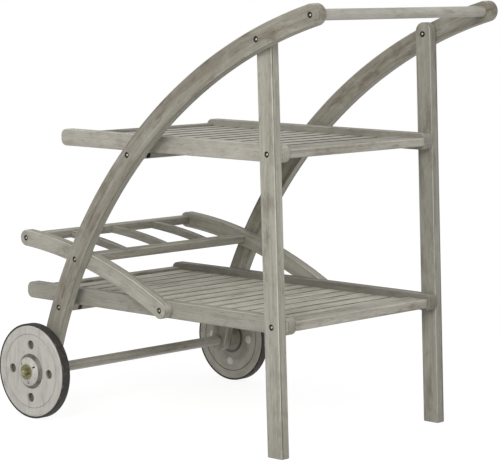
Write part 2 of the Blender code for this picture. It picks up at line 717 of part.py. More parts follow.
def divider_arch(section, y, middle_drop, share):
    """Divider's section at a share of its way from the front to the back bar, lifted to the rails' curve."""
    (front, _), (back, _) = divider_faces()
    run = back - front
    up = Vector((-run.y, run.x)).normalized()
    lift = share * (1 - share) * run.length ** 2 / (2 * RACK_RADIUS)
    middle = front + run * share + up * (lift - middle_drop)
    return [(middle.x + up.x * point.y, y + point.x, middle.y + up.y * point.y) for point in section]


def divider_ring(section, y, face, into_bar, middle_drop):
    """Divider's section where it meets a bar's face, or a distance beyond the face."""
    (front, _), (back, _) = divider_faces()
    run = (back - front).normalized()
    down = Vector((run.y, -run.x))
    corner, normal = face
    ring = []
    for point in section:
        start = front + down * (middle_drop - point.y)
        place = start + run * ((corner - start).dot(normal) / run.dot(normal) + into_bar)
        ring.append((place.x, y + point.x, place.y))
    return ring


def make_dividers():
    """Bars that part the bottles, tenoned into the front and back bar, and the cutter for the mortises."""
    front, back = divider_faces()
    middle = DIVIDER_HEIGHT / 2
    body = bar_section(DIVIDER_THICKNESS, DIVIDER_HEIGHT, DIVIDER_ROUNDING, 1)
    tenon = bar_section(DIVIDER_THICKNESS / 2, DIVIDER_HEIGHT / 2, DIVIDER_ROUNDING / 2, 1)
    mortise = bar_section(DIVIDER_THICKNESS / 2 + 2 * SEAT_GAP, DIVIDER_HEIGHT / 2 + 2 * SEAT_GAP,
                          DIVIDER_ROUNDING / 2, 1)
    deep = TONGUE_LENGTH
    mortises = []
    for number in range(DIVIDER_COUNT):
        y = (number - (DIVIDER_COUNT - 1) / 2) * DIVIDER_PITCH
        divider = loft([
            divider_ring(tenon, y, front, -deep, middle),
            divider_ring(tenon, y, front, SEAT_GAP, middle),
            divider_ring(body, y, front, SEAT_GAP, middle),
            *[divider_arch(body, y, middle, step / DIVIDER_STEPS) for step in range(1, DIVIDER_STEPS)],
            divider_ring(body, y, back, -SEAT_GAP, middle),
            divider_ring(tenon, y, back, -SEAT_GAP, middle),
            divider_ring(tenon, y, back, deep, middle),
        ])
        thing = add_object(f"rack_divider_{number + 1}", divider, WEATHERED)
        shade_round(thing)
        mortises.append(loft([
            divider_ring(mortise, y, front, -deep - SEAT_GAP, middle),
            divider_ring(mortise, y, back, deep + SEAT_GAP, middle),
        ]))
    return add_cutter("divider_mortises", merged(mortises))


def make_rack():
    """Curved side rails, front and back bar, and the dividers."""
    outline = rack_rail_outline()
    rail_outer = BOW_INNER - SEAT_GAP
    for side_name, side in SIDES.items():
        rail = add_object("rack_side_rail_" + side_name,
                          board(outline, side * LEG_INNER, side * rail_outer), WEATHERED)
        round_edges(rail, BOARD_EDGE_ROUNDING)
        cut(rail, bpy.data.objects["holes_bow_" + side_name])
        fit_bolts(rail)
        shade_round(rail)
    mortises = make_dividers()
    section = bar_section(RACK_BAR_SIZE, RACK_BAR_SIZE, RACK_BAR_ROUNDING)
    reach = LEG_INNER - SEAT_GAP
    for name, centre, carrier in (("rack_front_bar", RACK_FRONT, "rack_side_rail"),
                                  ("rack_back_bar", RACK_BOW_BOLT, "bow")):
        bar_outline = turned_outline(section, centre, rack_tilt(centre))
        bar = add_object(name, board(bar_outline, -reach, reach), WEATHERED_WARM)
        clear_bolts(bar, carrier)
        cut(bar, mortises)
        shade_round(bar)


def disc_profile():
    """Section of the wheel disc: hub, a thick web with a ring groove, and a rim."""
    bore = (AXLE_ROD_RADIUS + RUNNING_CLEARANCE) / math.cos(math.pi / WHEEL_SIDES)
    rim = WHEEL_RADIUS - TYRE_DEPTH - SEAT_GAP
    hub_inner = BOW_OUTER + HUB_END_PLAY
    groove_low = DISC_GROOVE_RADIUS - DISC_GROOVE_WIDTH / 2
    groove_high = DISC_GROOVE_RADIUS + DISC_GROOVE_WIDTH / 2
    return [
        (bore, hub_inner),
        (HUB_INNER_RADIUS, hub_inner),
        (HUB_INNER_RADIUS, WHEEL_INNER),
        (rim, WHEEL_INNER),
        (rim, WHEEL_OUTER),
        (rim - DISC_LIP_WIDTH, WHEEL_OUTER),
        (rim - DISC_LIP_WIDTH - DISC_FACE_PROUD, DISC_FACE),
        (groove_high, DISC_FACE),
        (DISC_GROOVE_RADIUS, DISC_FACE - DISC_GROOVE_DEPTH),
        (groove_low, DISC_FACE),
        (HUB_BASE_RADIUS, DISC_FACE),
        (HUB_SHOULDER_RADIUS, DISC_FACE + HUB_SHOULDER_HEIGHT),
        (HUB_TOP_RADIUS, HUB_OUTER),
        (bore, HUB_OUTER),
    ]


def tyre_profile():
    inside = WHEEL_RADIUS - TYRE_DEPTH
    return [
        (inside, WHEEL_INNER),
        (WHEEL_RADIUS - TYRE_SHOULDER, WHEEL_INNER),
        (WHEEL_RADIUS, WHEEL_INNER + TYRE_SHOULDER),
        (WHEEL_RADIUS, WHEEL_OUTER - TYRE_SHOULDER),
        (WHEEL_RADIUS - TYRE_SHOULDER, WHEEL_OUTER),
        (inside, WHEEL_OUTER),
    ]


def make_cap_nut(name, side, place):
    """Hexagon nut with a domed cap, closed over the rod's end."""
    corner = CAP_NUT_ACROSS_FLATS / 2 / math.cos(math.pi / 6)
    hex_top = NUT_INNER + CAP_NUT_HEX_HEIGHT
    tip = hex_top + CAP_NUT_DOME_HEIGHT
    dome = turned([
        (0.0, hex_top - CAP_NUT_HEX_HEIGHT / 4),
        (CAP_NUT_DOME_RADIUS, hex_top - CAP_NUT_HEX_HEIGHT / 4),
        (CAP_NUT_DOME_RADIUS, hex_top + CAP_NUT_DOME_HEIGHT / 3),
        (CAP_NUT_DOME_RADIUS * math.cos(math.pi / 4), tip - CAP_NUT_DOME_HEIGHT / 5),
        (0.0, tip),
    ], BOLT_SIDES)
    bore = pin(AXLE_ROD_RADIUS + SEAT_GAP, NUT_INNER - CUT_OVERRUN, NUT_INNER + ROD_END_IN_NUT + SEAT_GAP,
               ROD_SIDES)
    nut = add_object(name, along_y(pin(corner, NUT_INNER, hex_top, 6), side), (0.75, 0.68, 0.45, 1.0),
                     0.35, 1.0, place)
    for mesh, tool_name, fit in ((dome, "_dome", join), (bore, "_bore", cut)):
        tool = add_cutter(name + tool_name, along_y(mesh, side))
        tool.location = place
        fit(nut, tool)
    shade_round(nut)


def make_wheels():
    """Wheel discs and tyres, washers and cap nuts, all about the axle."""
    place = (AXLE.x, 0.0, AXLE.y)
    bore = AXLE_ROD_RADIUS + SEAT_GAP
    washer = [(bore, WASHER_INNER), (AXLE_WASHER_RADIUS, WASHER_INNER),
              (AXLE_WASHER_RADIUS, WASHER_OUTER), (bore, WASHER_OUTER)]
    for side_name, side in SIDES.items():
        disc = add_object("wheel_disc_" + side_name, along_y(turned(disc_profile(), WHEEL_SIDES, True), side),
                          (0.62, 0.62, 0.60, 1.0), 0.5, location=place)
        dimples = []
        for number in range(DIMPLE_COUNT):
            angle = math.tau * number / DIMPLE_COUNT
            spoke = Vector((math.cos(angle), math.sin(angle))) * DIMPLE_CIRCLE_RADIUS
            for low, high in ((WHEEL_INNER - CUT_OVERRUN, WHEEL_INNER + DIMPLE_DEPTH),
                              (DISC_FACE - DIMPLE_DEPTH, DISC_FACE + CUT_OVERRUN)):
                dimples.append(at(AXLE + spoke, pin(DIMPLE_RADIUS, low, high, DIMPLE_SIDES), side))
        cut(disc, add_cutter("disc_dimples_" + side_name, merged(dimples)))
        shade_round(disc)
        tyre = add_object("tyre_" + side_name, along_y(turned(tyre_profile(), WHEEL_SIDES, True), side),
                          (0.05, 0.05, 0.05, 1.0), 0.8, location=place)
        shade_round(tyre)
        ring = add_object("axle_washer_" + side_name, along_y(turned(washer, ROD_SIDES, True), side),
                          (0.75, 0.68, 0.45, 1.0), 0.35, 1.0, place)
        shade_round(ring)
        make_cap_nut("axle_cap_nut_" + side_name, side, place)


def add_datum():
    """Empty that puts the middle of the bounding box over the origin."""
    datum = bpy.data.objects.new("cart_datum", None)
    bpy.context.scene.collection.objects.link(datum)
    low_x = min(AXLE.x - WHEEL_RADIUS, LOWER_SHELF.low_x)
    high_x = max(point.x for point in bow_outline())
    datum.location = (-(low_x + high_x) / 2, 0.0, 0.0)


def main():
    for thing in list(bpy.data.objects):
        bpy.data.objects.remove(thing, do_unlink=True)
    add_datum()
    make_bolt_tools()
    axle_hole = make_sides()
    make_handle_and_axle(axle_hole)
    make_stretchers()
    for shelf, stretcher in ((UPPER_SHELF, UPPER_STRETCHER), (LOWER_SHELF, LOWER_STRETCHER)):
        make_shelf_rails(shelf, stretcher)
        make_shelf_deck(shelf)
    make_rack()
    make_wheels()


if __name__ == "__main__":
    main()
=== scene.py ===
"""A weathered wooden tea cart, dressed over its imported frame.

Metres. +X points to the handle, -Y is the left side of someone who pushes the cart and +Z is up.
The x, z plane is the one in which the bows, the legs and the rack's side rails are drawn.
"""

import math

import bmesh
import bpy
from bpy.props import FloatProperty, FloatVectorProperty, IntProperty, PointerProperty
from mathutils import Matrix, Vector


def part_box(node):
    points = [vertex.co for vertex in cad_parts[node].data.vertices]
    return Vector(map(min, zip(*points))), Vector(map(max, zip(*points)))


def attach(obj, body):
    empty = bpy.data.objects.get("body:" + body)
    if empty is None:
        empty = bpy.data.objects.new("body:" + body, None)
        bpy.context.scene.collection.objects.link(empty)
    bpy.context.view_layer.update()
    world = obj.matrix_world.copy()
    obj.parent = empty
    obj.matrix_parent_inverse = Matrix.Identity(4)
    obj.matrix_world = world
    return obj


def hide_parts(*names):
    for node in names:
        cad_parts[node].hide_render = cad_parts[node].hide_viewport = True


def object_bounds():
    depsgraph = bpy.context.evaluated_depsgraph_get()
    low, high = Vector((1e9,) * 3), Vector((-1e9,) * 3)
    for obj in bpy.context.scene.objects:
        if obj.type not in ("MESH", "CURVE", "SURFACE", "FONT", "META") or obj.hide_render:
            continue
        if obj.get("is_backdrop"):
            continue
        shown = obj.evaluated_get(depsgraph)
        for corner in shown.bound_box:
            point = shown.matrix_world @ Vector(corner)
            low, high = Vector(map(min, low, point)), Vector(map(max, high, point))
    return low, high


bl_info = {
    "name": "Tea Cart",
    "version": (1, 0, 0),
    "blender": (4, 5, 0),
    "location": "3D View > Sidebar > Tea Cart",
    "description": "Dresses the frame of a wooden tea cart with boards, slats, wheels and bolts",
    "category": "Add Mesh",
}

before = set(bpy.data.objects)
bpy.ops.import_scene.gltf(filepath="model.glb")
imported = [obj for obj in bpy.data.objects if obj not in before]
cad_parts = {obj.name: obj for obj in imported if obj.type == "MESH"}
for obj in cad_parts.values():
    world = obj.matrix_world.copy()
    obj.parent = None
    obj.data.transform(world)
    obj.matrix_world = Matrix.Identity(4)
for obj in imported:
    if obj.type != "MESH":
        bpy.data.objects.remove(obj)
CAD_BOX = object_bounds()

CHASSIS = "chassis"
SIDES = {"left": -1, "right": 1}
SHELVES = ("upper", "lower")
ALONG_Y = (0.0, 1.0, 0.0)
QUARTER = math.pi / 2
SEAT_GAP = 0.0003  # left between pieces that touch
OVERRUN = 0.002  # how far a cutting body passes the face that it cuts
MERGE_DISTANCE = 0.00001
TONE_HEIGHT = 0.9  # where a piece has its upper tone
BOW_BORE = 0.0043
DISC_BORE = 0.0042
ROD_EASING = 0.0005
METAL_EASING = 0.0003
END_PIECE_CORNER = 0.0030
DIVIDER_TENON = 0.0020
EDGE_LINE_INSETS = {"bow": 0.0034, "leg": 0.0036, "rack": 0.0030}
NUT_HOLE_DEPTH = 0.0200
NUT_SINK = 0.0012
NUT_CHAMFER = 0.0005
NUT_RECESS_RADIUS = 0.0045
NUT_RECESS_DEPTH = 0.0010
FLANGE_THICKNESS = 0.0016
CAP_NUT_FLATS = 0.0130
CAP_NUT_HEIGHT = 0.0062
CAP_NUT_COLLAR = 0.0006
CAP_NUT_DOME = 0.0056
INNER_GROOVE_DEPTH = 0.0012
OUTER_GROOVE_DEPTH = 0.0010
DISC_ROUNDING = 0.0009
TYRE_ROUNDING = 0.0012
HUB_SLOT_DEPTH = 0.0095
HUB_SLOT_ANGLES = (30.0, 138.0, 280.0)
LAMPS = {"key_lamp": (1.6, -3.6, 2.5), "fill_lamp": (3.6, -0.9, 2.6)}
LAMP_SIZE = 2.2
LAMP_TARGET = Vector((0.0, 0.0, 0.45))
FLOOR_GREY = 0.24  # how much light the floor gives back
FLOOR_SEEN = 0.88  # how bright it looks to the camera


# Properties -------------------------------------------------------------------------------------

def length(name, description, default):
    return FloatProperty(name=name, description=description, default=default, min=0.0,
                         unit="LENGTH", precision=4)


def angular(name, description, degrees):
    return FloatProperty(name=name, description=description, default=math.radians(degrees),
                         subtype="ANGLE")


def colour(name, description, red, green, blue):
    return FloatVectorProperty(name=name, description=description, size=3, min=0.0, max=1.0,
                               subtype="COLOR_GAMMA", default=(red / 255, green / 255, blue / 255))


def amount(name, description, default):
    return FloatProperty(name=name, description=description, default=default, min=0.0, max=1.0)


def power(name, description, default):
    return FloatProperty(name=name, description=description, default=default, unit="POWER")


class TeaCartSizes(bpy.types.PropertyGroup):
    """Sizes of the wooden pieces."""

    bow_thickness: length("Bow thickness", "Thickness of the two curved bows", 0.0220)
    bow_depth: length("Bow depth", "Depth of the bows across their curve", 0.0428)
    bow_radius: length("Bow radius", "Radius of the bows' middle line", 1.0693)
    bow_top_past_handle: length("Bow past handle", "From the handle to the bow's top end", 0.0240)
    bow_foot_past_axle: length("Bow past axle", "From the axle to the bow's foot end", 0.0280)
    edge_rounding: length("Edge rounding", "Rounding along the thick boards' edges", 0.0020)
    leg_thickness: length("Leg thickness", "Thickness of the two legs", 0.0228)
    leg_depth: length("Leg depth", "Depth of the legs, seen from the side", 0.0385)
    leg_bolt_drop: length("Leg bolt drop", "From the handle down to the leg's top bolt", 0.0494)
    leg_past_bolt: length("Leg past bolt", "From that bolt to the leg's top end", 0.0246)
    axle_to_foot: length("Axle to foot", "From the axle to the middle of the legs' feet", 0.6454)
    shelf_rail_thickness: length("Shelf rail thickness", "Of the shelves' side rails", 0.0239)
    shelf_rail_corner: length("Shelf rail corner", "Corner radius of those rails", 0.0140)
    upper_slat_rounding: length("Upper slat rounding", "Edge rounding of the upper slats", 0.0034)
    lower_slat_rounding: length("Lower slat rounding", "Edge rounding of the lower slats", 0.0016)
    stretcher_width: length("Stretcher width", "Width of the bars under the shelves", 0.0220)
    stretcher_height: length("Stretcher height", "Height of the bars under the shelves", 0.0160)
    stretcher_rounding: length("Stretcher rounding", "Edge rounding of those bars", 0.0045)
    stretcher_tilt: angular("Stretcher tilt", "How far those bars are turned to shed water", 20.0)
    rack_radius: length("Rack radius", "Radius of the rack rails' middle line", 1.0499)
    rack_rail_depth: length("Rack rail depth", "Depth of the rack's curved side rails", 0.0348)
    rack_bolt_height: length("Rack bolt height", "Height of the rack's bolt in the bows", 0.3482)
    rack_front_reach: length("Rack front reach", "From that bolt to the front bar's", 0.1795)
    rack_rear_reach: length("Rack rear reach", "From that bolt to the lower shelf's", 0.2455)
    rack_bar_size: length("Rack bar size", "Width and height of the rack's cross bars", 0.0190)
    rack_bar_rounding: length("Rack bar rounding", "Edge rounding of those cross bars", 0.0032)
    divider_count: IntProperty(name="Dividers", description="How many bars part the bottles",
                               default=3, min=1)
    divider_pitch: length("Divider pitch", "From one divider's middle to the next", 0.1256)
    divider_thickness: length("Divider thickness", "Thickness of the dividers", 0.0150)
    divider_height: length("Divider height", "Height of the dividers", 0.0165)
    divider_rounding: length("Divider rounding", "Edge rounding of the dividers", 0.0018)
    divider_front_drop: length("Divider front drop", "From the front bar's top down", 0.0030)
    divider_back_drop: length("Divider back drop", "From the back bar's top down", 0.0015)
    end_easing: length("End easing", "Easing at the cross bars' and round bars' ends", 0.0012)


class TeaCartFittings(bpy.types.PropertyGroup):
    """Sizes of the wheels, bolts and nuts."""

    wheel_radius: length("Wheel radius", "Outer radius of the tyres", 0.1021)
    tyre_depth: length("Tyre depth", "Thickness of the tyre's band", 0.0042)
    rim_lip: length("Rim lip", "Width of the flat ring inside the tyre", 0.0022)
    face_rise: length("Face rise", "How far the disc's face stands over the tyre's side", 0.0010)
    groove_radius: length("Groove radius", "Radius of the ring groove in the face", 0.0795)
    groove_width: length("Groove width", "Width of that groove", 0.0026)
    dimple_circle: length("Dimple circle", "Radius of the circle of the disc's dimples", 0.0570)
    dimple_radius: length("Dimple radius", "Radius of the disc's dimples", 0.0099)
    dimple_depth: length("Dimple depth", "Depth of the disc's dimples", 0.0085)
    hub_base_radius: length("Hub base radius", "Radius of the hub at the disc's face", 0.0372)
    hub_shoulder_radius: length("Hub shoulder radius", "Where the hub's cone starts", 0.0300)
    hub_shoulder_height: length("Hub shoulder height", "Of that shoulder over the face", 0.0075)
    hub_top_radius: length("Hub top radius", "Radius of the hub's outer end", 0.0205)
    hub_inner_radius: length("Hub inner radius", "Radius of the hub at the cart's side", 0.0225)
    hub_slot_start: length("Hub slot start", "Radius at which the hub's slots start", 0.0190)
    hub_slot_end: length("Hub slot end", "Radius at which the hub's slots end", 0.0268)
    hub_slot_width: length("Hub slot width", "Width of the hub's slots", 0.0036)
    boss_rise: length("Boss rise", "How far the dimples stand out of the inner face", 0.0028)
    counterbore_radius: length("Counterbore radius", "Of the recesses for bolt heads", 0.0063)
    counterbore_depth: length("Counterbore depth", "Depth of those recesses", 0.0030)
    bolt_head_radius: length("Bolt head radius", "Radius of the bolts' flanged heads", 0.0060)
    nut_radius: length("Barrel nut radius", "Radius of the nuts in the cross bars", 0.0060)
    nut_inset: length("Barrel nut inset", "From the bow to the middle of the nut", 0.0317)
    washer_radius: length("Washer radius", "Outer radius of the washers on the axle", 0.0163)


class TeaCartColours(bpy.types.PropertyGroup):
    """Colours as they show on a screen."""

    bow: colour("Bow", "Wash on the bows", 155, 151, 138)
    leg: colour("Leg", "Wash on the legs", 179, 176, 163)
    shelf: colour("Shelf", "Wash on the shelves' rails and end pieces", 186, 182, 170)
    slat: colour("Slat", "Wash on the slats", 178, 175, 163)
    rack: colour("Rack", "Wash on the rack", 178, 175, 163)
    dowel: colour("Dowel", "Wash on the handle and the axle beam", 180, 177, 167)
    stain: colour("Stain", "Brown wood that shows through the wash", 106, 94, 79)
    # Dark lines along the grain; also painted shade on rounded edges that face down.
    fibre_and_shade: colour("Fibre", "Dark lines along the grain", 96, 88, 76)
    # Pale wood: real pale streaks and wear on the edges, and also painted light, as highlights on
    # edges, on faces that look down and on the tips of the wheel discs' bosses.
    worn_and_lit: colour("Worn", "Pale wood along rubbed edges", 218, 216, 206)
    # Painted shade on the sides of the slats, and faintly of the legs.
    gap: colour("Gap", "Dark wash on the slats' sides", 28, 26, 22)
    disc: colour("Disc", "Plastic of the wheel discs", 200, 196, 189)
    # Mottled dirt on the discs' inner faces, and painted shade in their dimples and round the hub's
    # cone.
    grime_and_shade: colour("Grime", "Dirt in the recesses of the wheel discs", 82, 76, 64)
    tyre: colour("Tyre", "Rubber of the tyres", 44, 42, 39)
    zinc: colour("Zinc", "Yellow zinc on the washers", 132, 128, 92)
    dull_zinc: colour("Dull zinc", "Darker zinc on the cap nuts", 158, 152, 122)
    bright_steel: colour("Bright steel", "Bolt heads", 172, 168, 156)
    # Nearly black steel: painted shade, on the bolt heads' flanges in their counterbores and on the
    # upper barrel nuts.
    dark_steel: colour("Dark steel", "Flanges of the bolt heads, upper barrel nuts", 24, 22, 19)
    oxide: colour("Oxide", "Red-brown nuts of the lower cross bar", 84, 40, 38)


class TeaCartStudio(bpy.types.PropertyGroup):
    """Camera, floor and light."""

    camera_place: FloatVectorProperty(
        name="Camera place", description="From the middle of the legs' feet to the camera",
        size=3, subtype="TRANSLATION", unit="LENGTH", default=(2.8964, -3.4979, 0.9666))
    camera_yaw: angular("Camera yaw", "Turn of the view from +Y towards -X", 42.4880)
    camera_pitch: angular("Camera pitch", "Tilt of the view above the horizon", -6.7267)
    camera_roll: angular("Camera roll", "Turn of the view about its own axis", 0.2657)
    focal_length: FloatProperty(name="Focal length", description="Of a camera with a 36 mm sensor",
                                default=161.681, unit="CAMERA")
    sky_strength: amount("Sky strength", "Even light from all sides", 0.50)
    key_power: power("Key power", "Large soft lamp at the front left", 84.0)
    fill_power: power("Fill power", "Large soft lamp at the handle's side", 38.0)
    floor_glow: amount("Floor glow", "Light that the floor sends up to the cart", 0.30)
    floor_radius: length("Floor radius", "Radius of the round floor", 6.0)


# Drawing in the x, z plane ----------------------------------------------------------------------

def flat_box(node):
    """Lowest and highest corner of a node of the frame in the x, z plane."""
    return [Vector((corner.x, corner.z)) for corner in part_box(node)]


def middle_of(node):
    low, high = flat_box(node)
    return (low + high) / 2


def heading(angle):
    """Direction at an angle from +X towards +Z."""
    return Vector((math.cos(angle), math.sin(angle)))


def arc(centre, radius, start, end, steps):
    return [centre + heading(start + (end - start) * step / steps) * radius
            for step in range(steps + 1)]


def rounded_box(low, high, radius, steps):
    """Outline of a box with rounded corners, counter-clockwise."""
    inset = Vector((radius, radius))
    low, high = low + inset, high - inset
    corners = [high, Vector((low.x, high.y)), low, Vector((high.x, low.y))]
    return [point for index, corner in enumerate(corners)
            for point in arc(corner, radius, index * QUARTER, (index + 1) * QUARTER, steps)]


def tilted_axes(tilt):
    """Directions across and up a bar that is turned clockwise as seen from the left side."""
    return Vector((math.cos(tilt), -math.sin(tilt))), Vector((math.sin(tilt), math.cos(tilt)))


def bar_section(width, height, rounding, centre, tilt):
    half = Vector((width, height)) / 2
    across, up = tilted_axes(tilt)
    return [centre + across * point.x + up * point.y
            for point in rounded_box(-half, half, rounding, 6)]


def round_ended(centre, radius, half, start, end, steps):
    """Outline of a board along an arc, with half round ends."""
    first, last = [centre + heading(angle) * radius for angle in (start, end)]
    outer = arc(centre, radius + half, start, end, steps)
    inner = arc(centre, radius - half, end, start, steps)
    return (outer + arc(last, half, end, end + math.pi, 24)[1:-1]
            + inner + arc(first, half, start - math.pi, start, 24)[1:-1])


def eased(points, radius, steps):
    """Closed outline with each corner rounded as far as its sides allow."""
    result = []
    for index, corner in enumerate(points):
        before = points[index - 1] - corner
        after = points[(index + 1) % len(points)] - corner
        angle = before.angle(after)
        if angle > math.radians(170):
            result.append(corner)
            continue
        setback = min(radius / math.tan(angle / 2), before.length * 0.45, after.length * 0.45)
        start = corner + before.normalized() * setback
        end = corner + after.normalized() * setback
        for share in (step / steps for step in range(steps + 1)):
            result.append(start * (1 - share) ** 2 + corner * 2 * share * (1 - share)
                          + end * share ** 2)
    return result


class CartPlan:
    """Places of the cart's pieces, from the frame's boxes and the sizes in the panel."""

    def __init__(self, scene):
        self.sizes = sizes = scene.tea_cart_sizes
        self.fittings = scene.tea_cart_fittings
        self.colours = scene.tea_cart_colours
        self.axle = middle_of("axle_rod")
        self.handle = middle_of("handle")
        self.foot = Vector((self.axle.x + sizes.axle_to_foot, 0.0))
        self.bow_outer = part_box("bow_right")[1].y
        self.bow_inner = self.bow_outer - sizes.bow_thickness
        self.leg_inner = self.bow_inner - sizes.leg_thickness
        self.rail_inner = self.leg_inner - sizes.shelf_rail_thickness
        chord = self.handle - self.axle
        below = Vector((chord.y, -chord.x)).normalized()
        rise = math.sqrt(sizes.bow_radius ** 2 - (chord.length / 2) ** 2)
        self.bow_centre = (self.handle + self.axle) / 2 + below * rise
        self.leg_top_bolt = self.on_bow(self.handle.y - sizes.leg_bolt_drop)
        self.leg_direction = (self.leg_top_bolt - self.foot).normalized()
        self.rack_bow_bolt = self.on_bow(sizes.rack_bolt_height)
        self.shelf_bolts = [self.on_leg(middle_of(shelf + "_side_rail_left").y)
                            for shelf in SHELVES]
        drop = self.rack_bow_bolt.y - self.shelf_bolts[1].y
        reach = sizes.rack_rear_reach
        radial = QUARTER - math.asin(drop / reach) + math.asin(reach / (2 * sizes.rack_radius))
        self.rack_centre = self.rack_bow_bolt - heading(radial) * sizes.rack_radius
        self.rack_front = self.on_rack(-sizes.rack_front_reach)
        self.rack_rear = self.on_rack(sizes.rack_rear_reach)
        self.stretchers = {shelf: middle_of(shelf + "_stretcher") for shelf in SHELVES}

    def on_bow(self, height):
        rise = height - self.bow_centre.y
        run = math.sqrt(self.sizes.bow_radius ** 2 - rise ** 2)
        return Vector((self.bow_centre.x - run, height))

    def on_leg(self, height):
        return self.foot + self.leg_direction * (height / self.leg_direction.y)

    def on_rack(self, chord):
        """Point of the rack rail's middle line at a straight distance from the bow's bolt."""
        turn = -2 * math.asin(chord / (2 * self.sizes.rack_radius))
        return self.rack_centre + Matrix.Rotation(turn, 2) @ (self.rack_bow_bolt - self.rack_centre)

    def rack_tilt(self, point):
        spoke = point - self.rack_centre
        return math.atan2(spoke.x, spoke.y)

    def bow_outline(self):
        sizes, centre, radius = self.sizes, self.bow_centre, self.sizes.bow_radius
        half = sizes.bow_depth / 2
        top, foot = [(point - centre).angle_signed(Vector((1.0, 0.0)))
                     for point in (self.handle, self.axle)]
        return round_ended(centre, radius, half, top - (sizes.bow_top_past_handle - half) / radius,
                           foot + (sizes.bow_foot_past_axle - half) / radius, 72)

    def leg_outline(self):
        half, direction = self.sizes.leg_depth / 2, self.leg_direction
        foot_half = Vector((half / direction.y, 0.0))
        top = self.leg_top_bolt + direction * (self.sizes.leg_past_bolt - half)
        start = math.atan2(-direction.x, direction.y)
        return [self.foot - foot_half, self.foot + foot_half,
                *arc(top, half, start, start + math.pi, 24)]

    def rack_rail_outline(self):
        rear, front = [QUARTER - self.rack_tilt(end) for end in (self.rack_rear, self.rack_front)]
        return round_ended(self.rack_centre, self.sizes.rack_radius,
                           self.sizes.rack_rail_depth / 2, rear, front, 36)

    def bolts(self, carrier):
        """Middles of the bolts with heads in this kind of board, and the y of its outer face."""
        if carrier == "bow":
            upper, lower = self.stretchers.values()
            centres = [self.handle, self.leg_top_bolt, upper, self.rack_bow_bolt, lower]
            return centres, self.bow_outer
        places = {"leg": self.shelf_bolts, "rack_side_rail": [self.rack_front, self.rack_rear]}
        return places[carrier], self.bow_inner - SEAT_GAP


# Solids -----------------------------------------------------------------------------------------

def board(outline, y_first, y_second):
    """Closed mesh between two copies of an outline in the x, z plane."""
    mesh = bmesh.new()
    first, second = [[mesh.verts.new((point.x, y, point.y)) for point in outline]
                     for y in (y_first, y_second)]
    for index in range(len(outline)):
        after = (index + 1) % len(outline)
        mesh.faces.new((first[index], first[after], second[after], second[index]))
    mesh.faces.new(first)
    mesh.faces.new(second)
    bmesh.ops.recalc_face_normals(mesh, faces=mesh.faces)
    return mesh


def turned(profile, sides, centre, closed=False):
    """Solid turned about the line through centre along Y, from (radius, y) points."""
    mesh = bmesh.new()
    verts = [mesh.verts.new((radius, y, 0.0)) for radius, y in profile]
    pairs = list(zip(verts, verts[1:])) + ([(verts[-1], verts[0])] if closed else [])
    edges = [mesh.edges.new(pair) for pair in pairs]
    bmesh.ops.spin(mesh, geom=verts + edges, cent=(0, 0, 0), axis=ALONG_Y, dvec=(0, 0, 0),
                   angle=math.tau, steps=sides, use_merge=True, use_duplicate=False)
    bmesh.ops.remove_doubles(mesh, verts=mesh.verts, dist=MERGE_DISTANCE)
    bmesh.ops.recalc_face_normals(mesh, faces=mesh.faces)
    bmesh.ops.translate(mesh, verts=mesh.verts, vec=(centre.x, 0.0, centre.y))
    return mesh


def rod(centre, radius, low, high, sides=32, ease=0.0):
    """Round bar along Y with eased ends."""
    corner = [(radius, 0.0)]
    if ease:
        corner = [(radius - ease + ease * math.sin(turn), ease - ease * math.cos(turn))
                  for turn in (QUARTER * step / 4 for step in range(5))]
    profile = [(0.0, low), *((r, low + y) for r, y in corner),
               *((r, high - y) for r, y in reversed(corner)), (0.0, high)]
    return turned(profile, sides, centre)


def ring(plan, side, corners, easing, sides, steps=4):
    """Ring about the axle, from the (radius, y) corners of its section on the right side."""
    profile = eased([Vector(corner) for corner in corners], easing, steps)
    return turned([(point.x, side * point.y) for point in profile], sides, plan.axle, True)


def together(meshes):
    """Several closed meshes as bodies of one."""
    result = bmesh.new()
    for mesh in meshes:
        data = bpy.data.meshes.new("body")
        mesh.to_mesh(data)
        mesh.free()
        result.from_mesh(data)
        bpy.data.meshes.remove(data)
    return result


def nut_pair(plan, centre, profile):
    """Turned solids across a tilted cross bar, at the places of its two barrel nuts."""
    solids = []
    for side in SIDES.values():
        solid = turned(profile, 32, Vector((0.0, 0.0)))
        place = (centre.x, side * (plan.bow_inner - plan.fittings.nut_inset), centre.y)
        bmesh.ops.transform(solid, verts=solid.verts, matrix=Matrix.Translation(place)
                            @ Matrix.Rotation(plan.sizes.stretcher_tilt, 4, "Y")
                            @ Matrix.Rotation(-QUARTER, 4, "Z"))
        solids.append(solid)
    return together(solids)


def new_object(name, mesh):
    data = bpy.data.meshes.new(name)
    mesh.to_mesh(data)
    mesh.free()
    piece = bpy.data.objects.new(name, data)
    bpy.context.scene.collection.objects.link(piece)
    return piece


def apply_modifiers(piece):
    old = piece.data
    bpy.context.view_layer.update()
    depsgraph = bpy.context.evaluated_depsgraph_get()
    applied = bpy.data.meshes.new_from_object(
        piece.evaluated_get(depsgraph), preserve_all_data_layers=True, depsgraph=depsgraph)
    piece.modifiers.clear()
    piece.data = applied
    bpy.data.meshes.remove(old)
    applied.name = piece.name


def bake(piece, smooth_angle):
    """Apply the modifiers and shade the result, with sharp corners and flat large faces."""
    cutters = [modifier.object for modifier in piece.modifiers if modifier.type == "BOOLEAN"]
    apply_modifiers(piece)
    for cutter in cutters:
        bpy.data.meshes.remove(cutter.data)
    piece.data.shade_smooth()
    piece.data.set_sharp_from_angle(angle=math.radians(smooth_angle))
    piece.modifiers.new("flat faces", "WEIGHTED_NORMAL").keep_sharp = True
    apply_modifiers(piece)


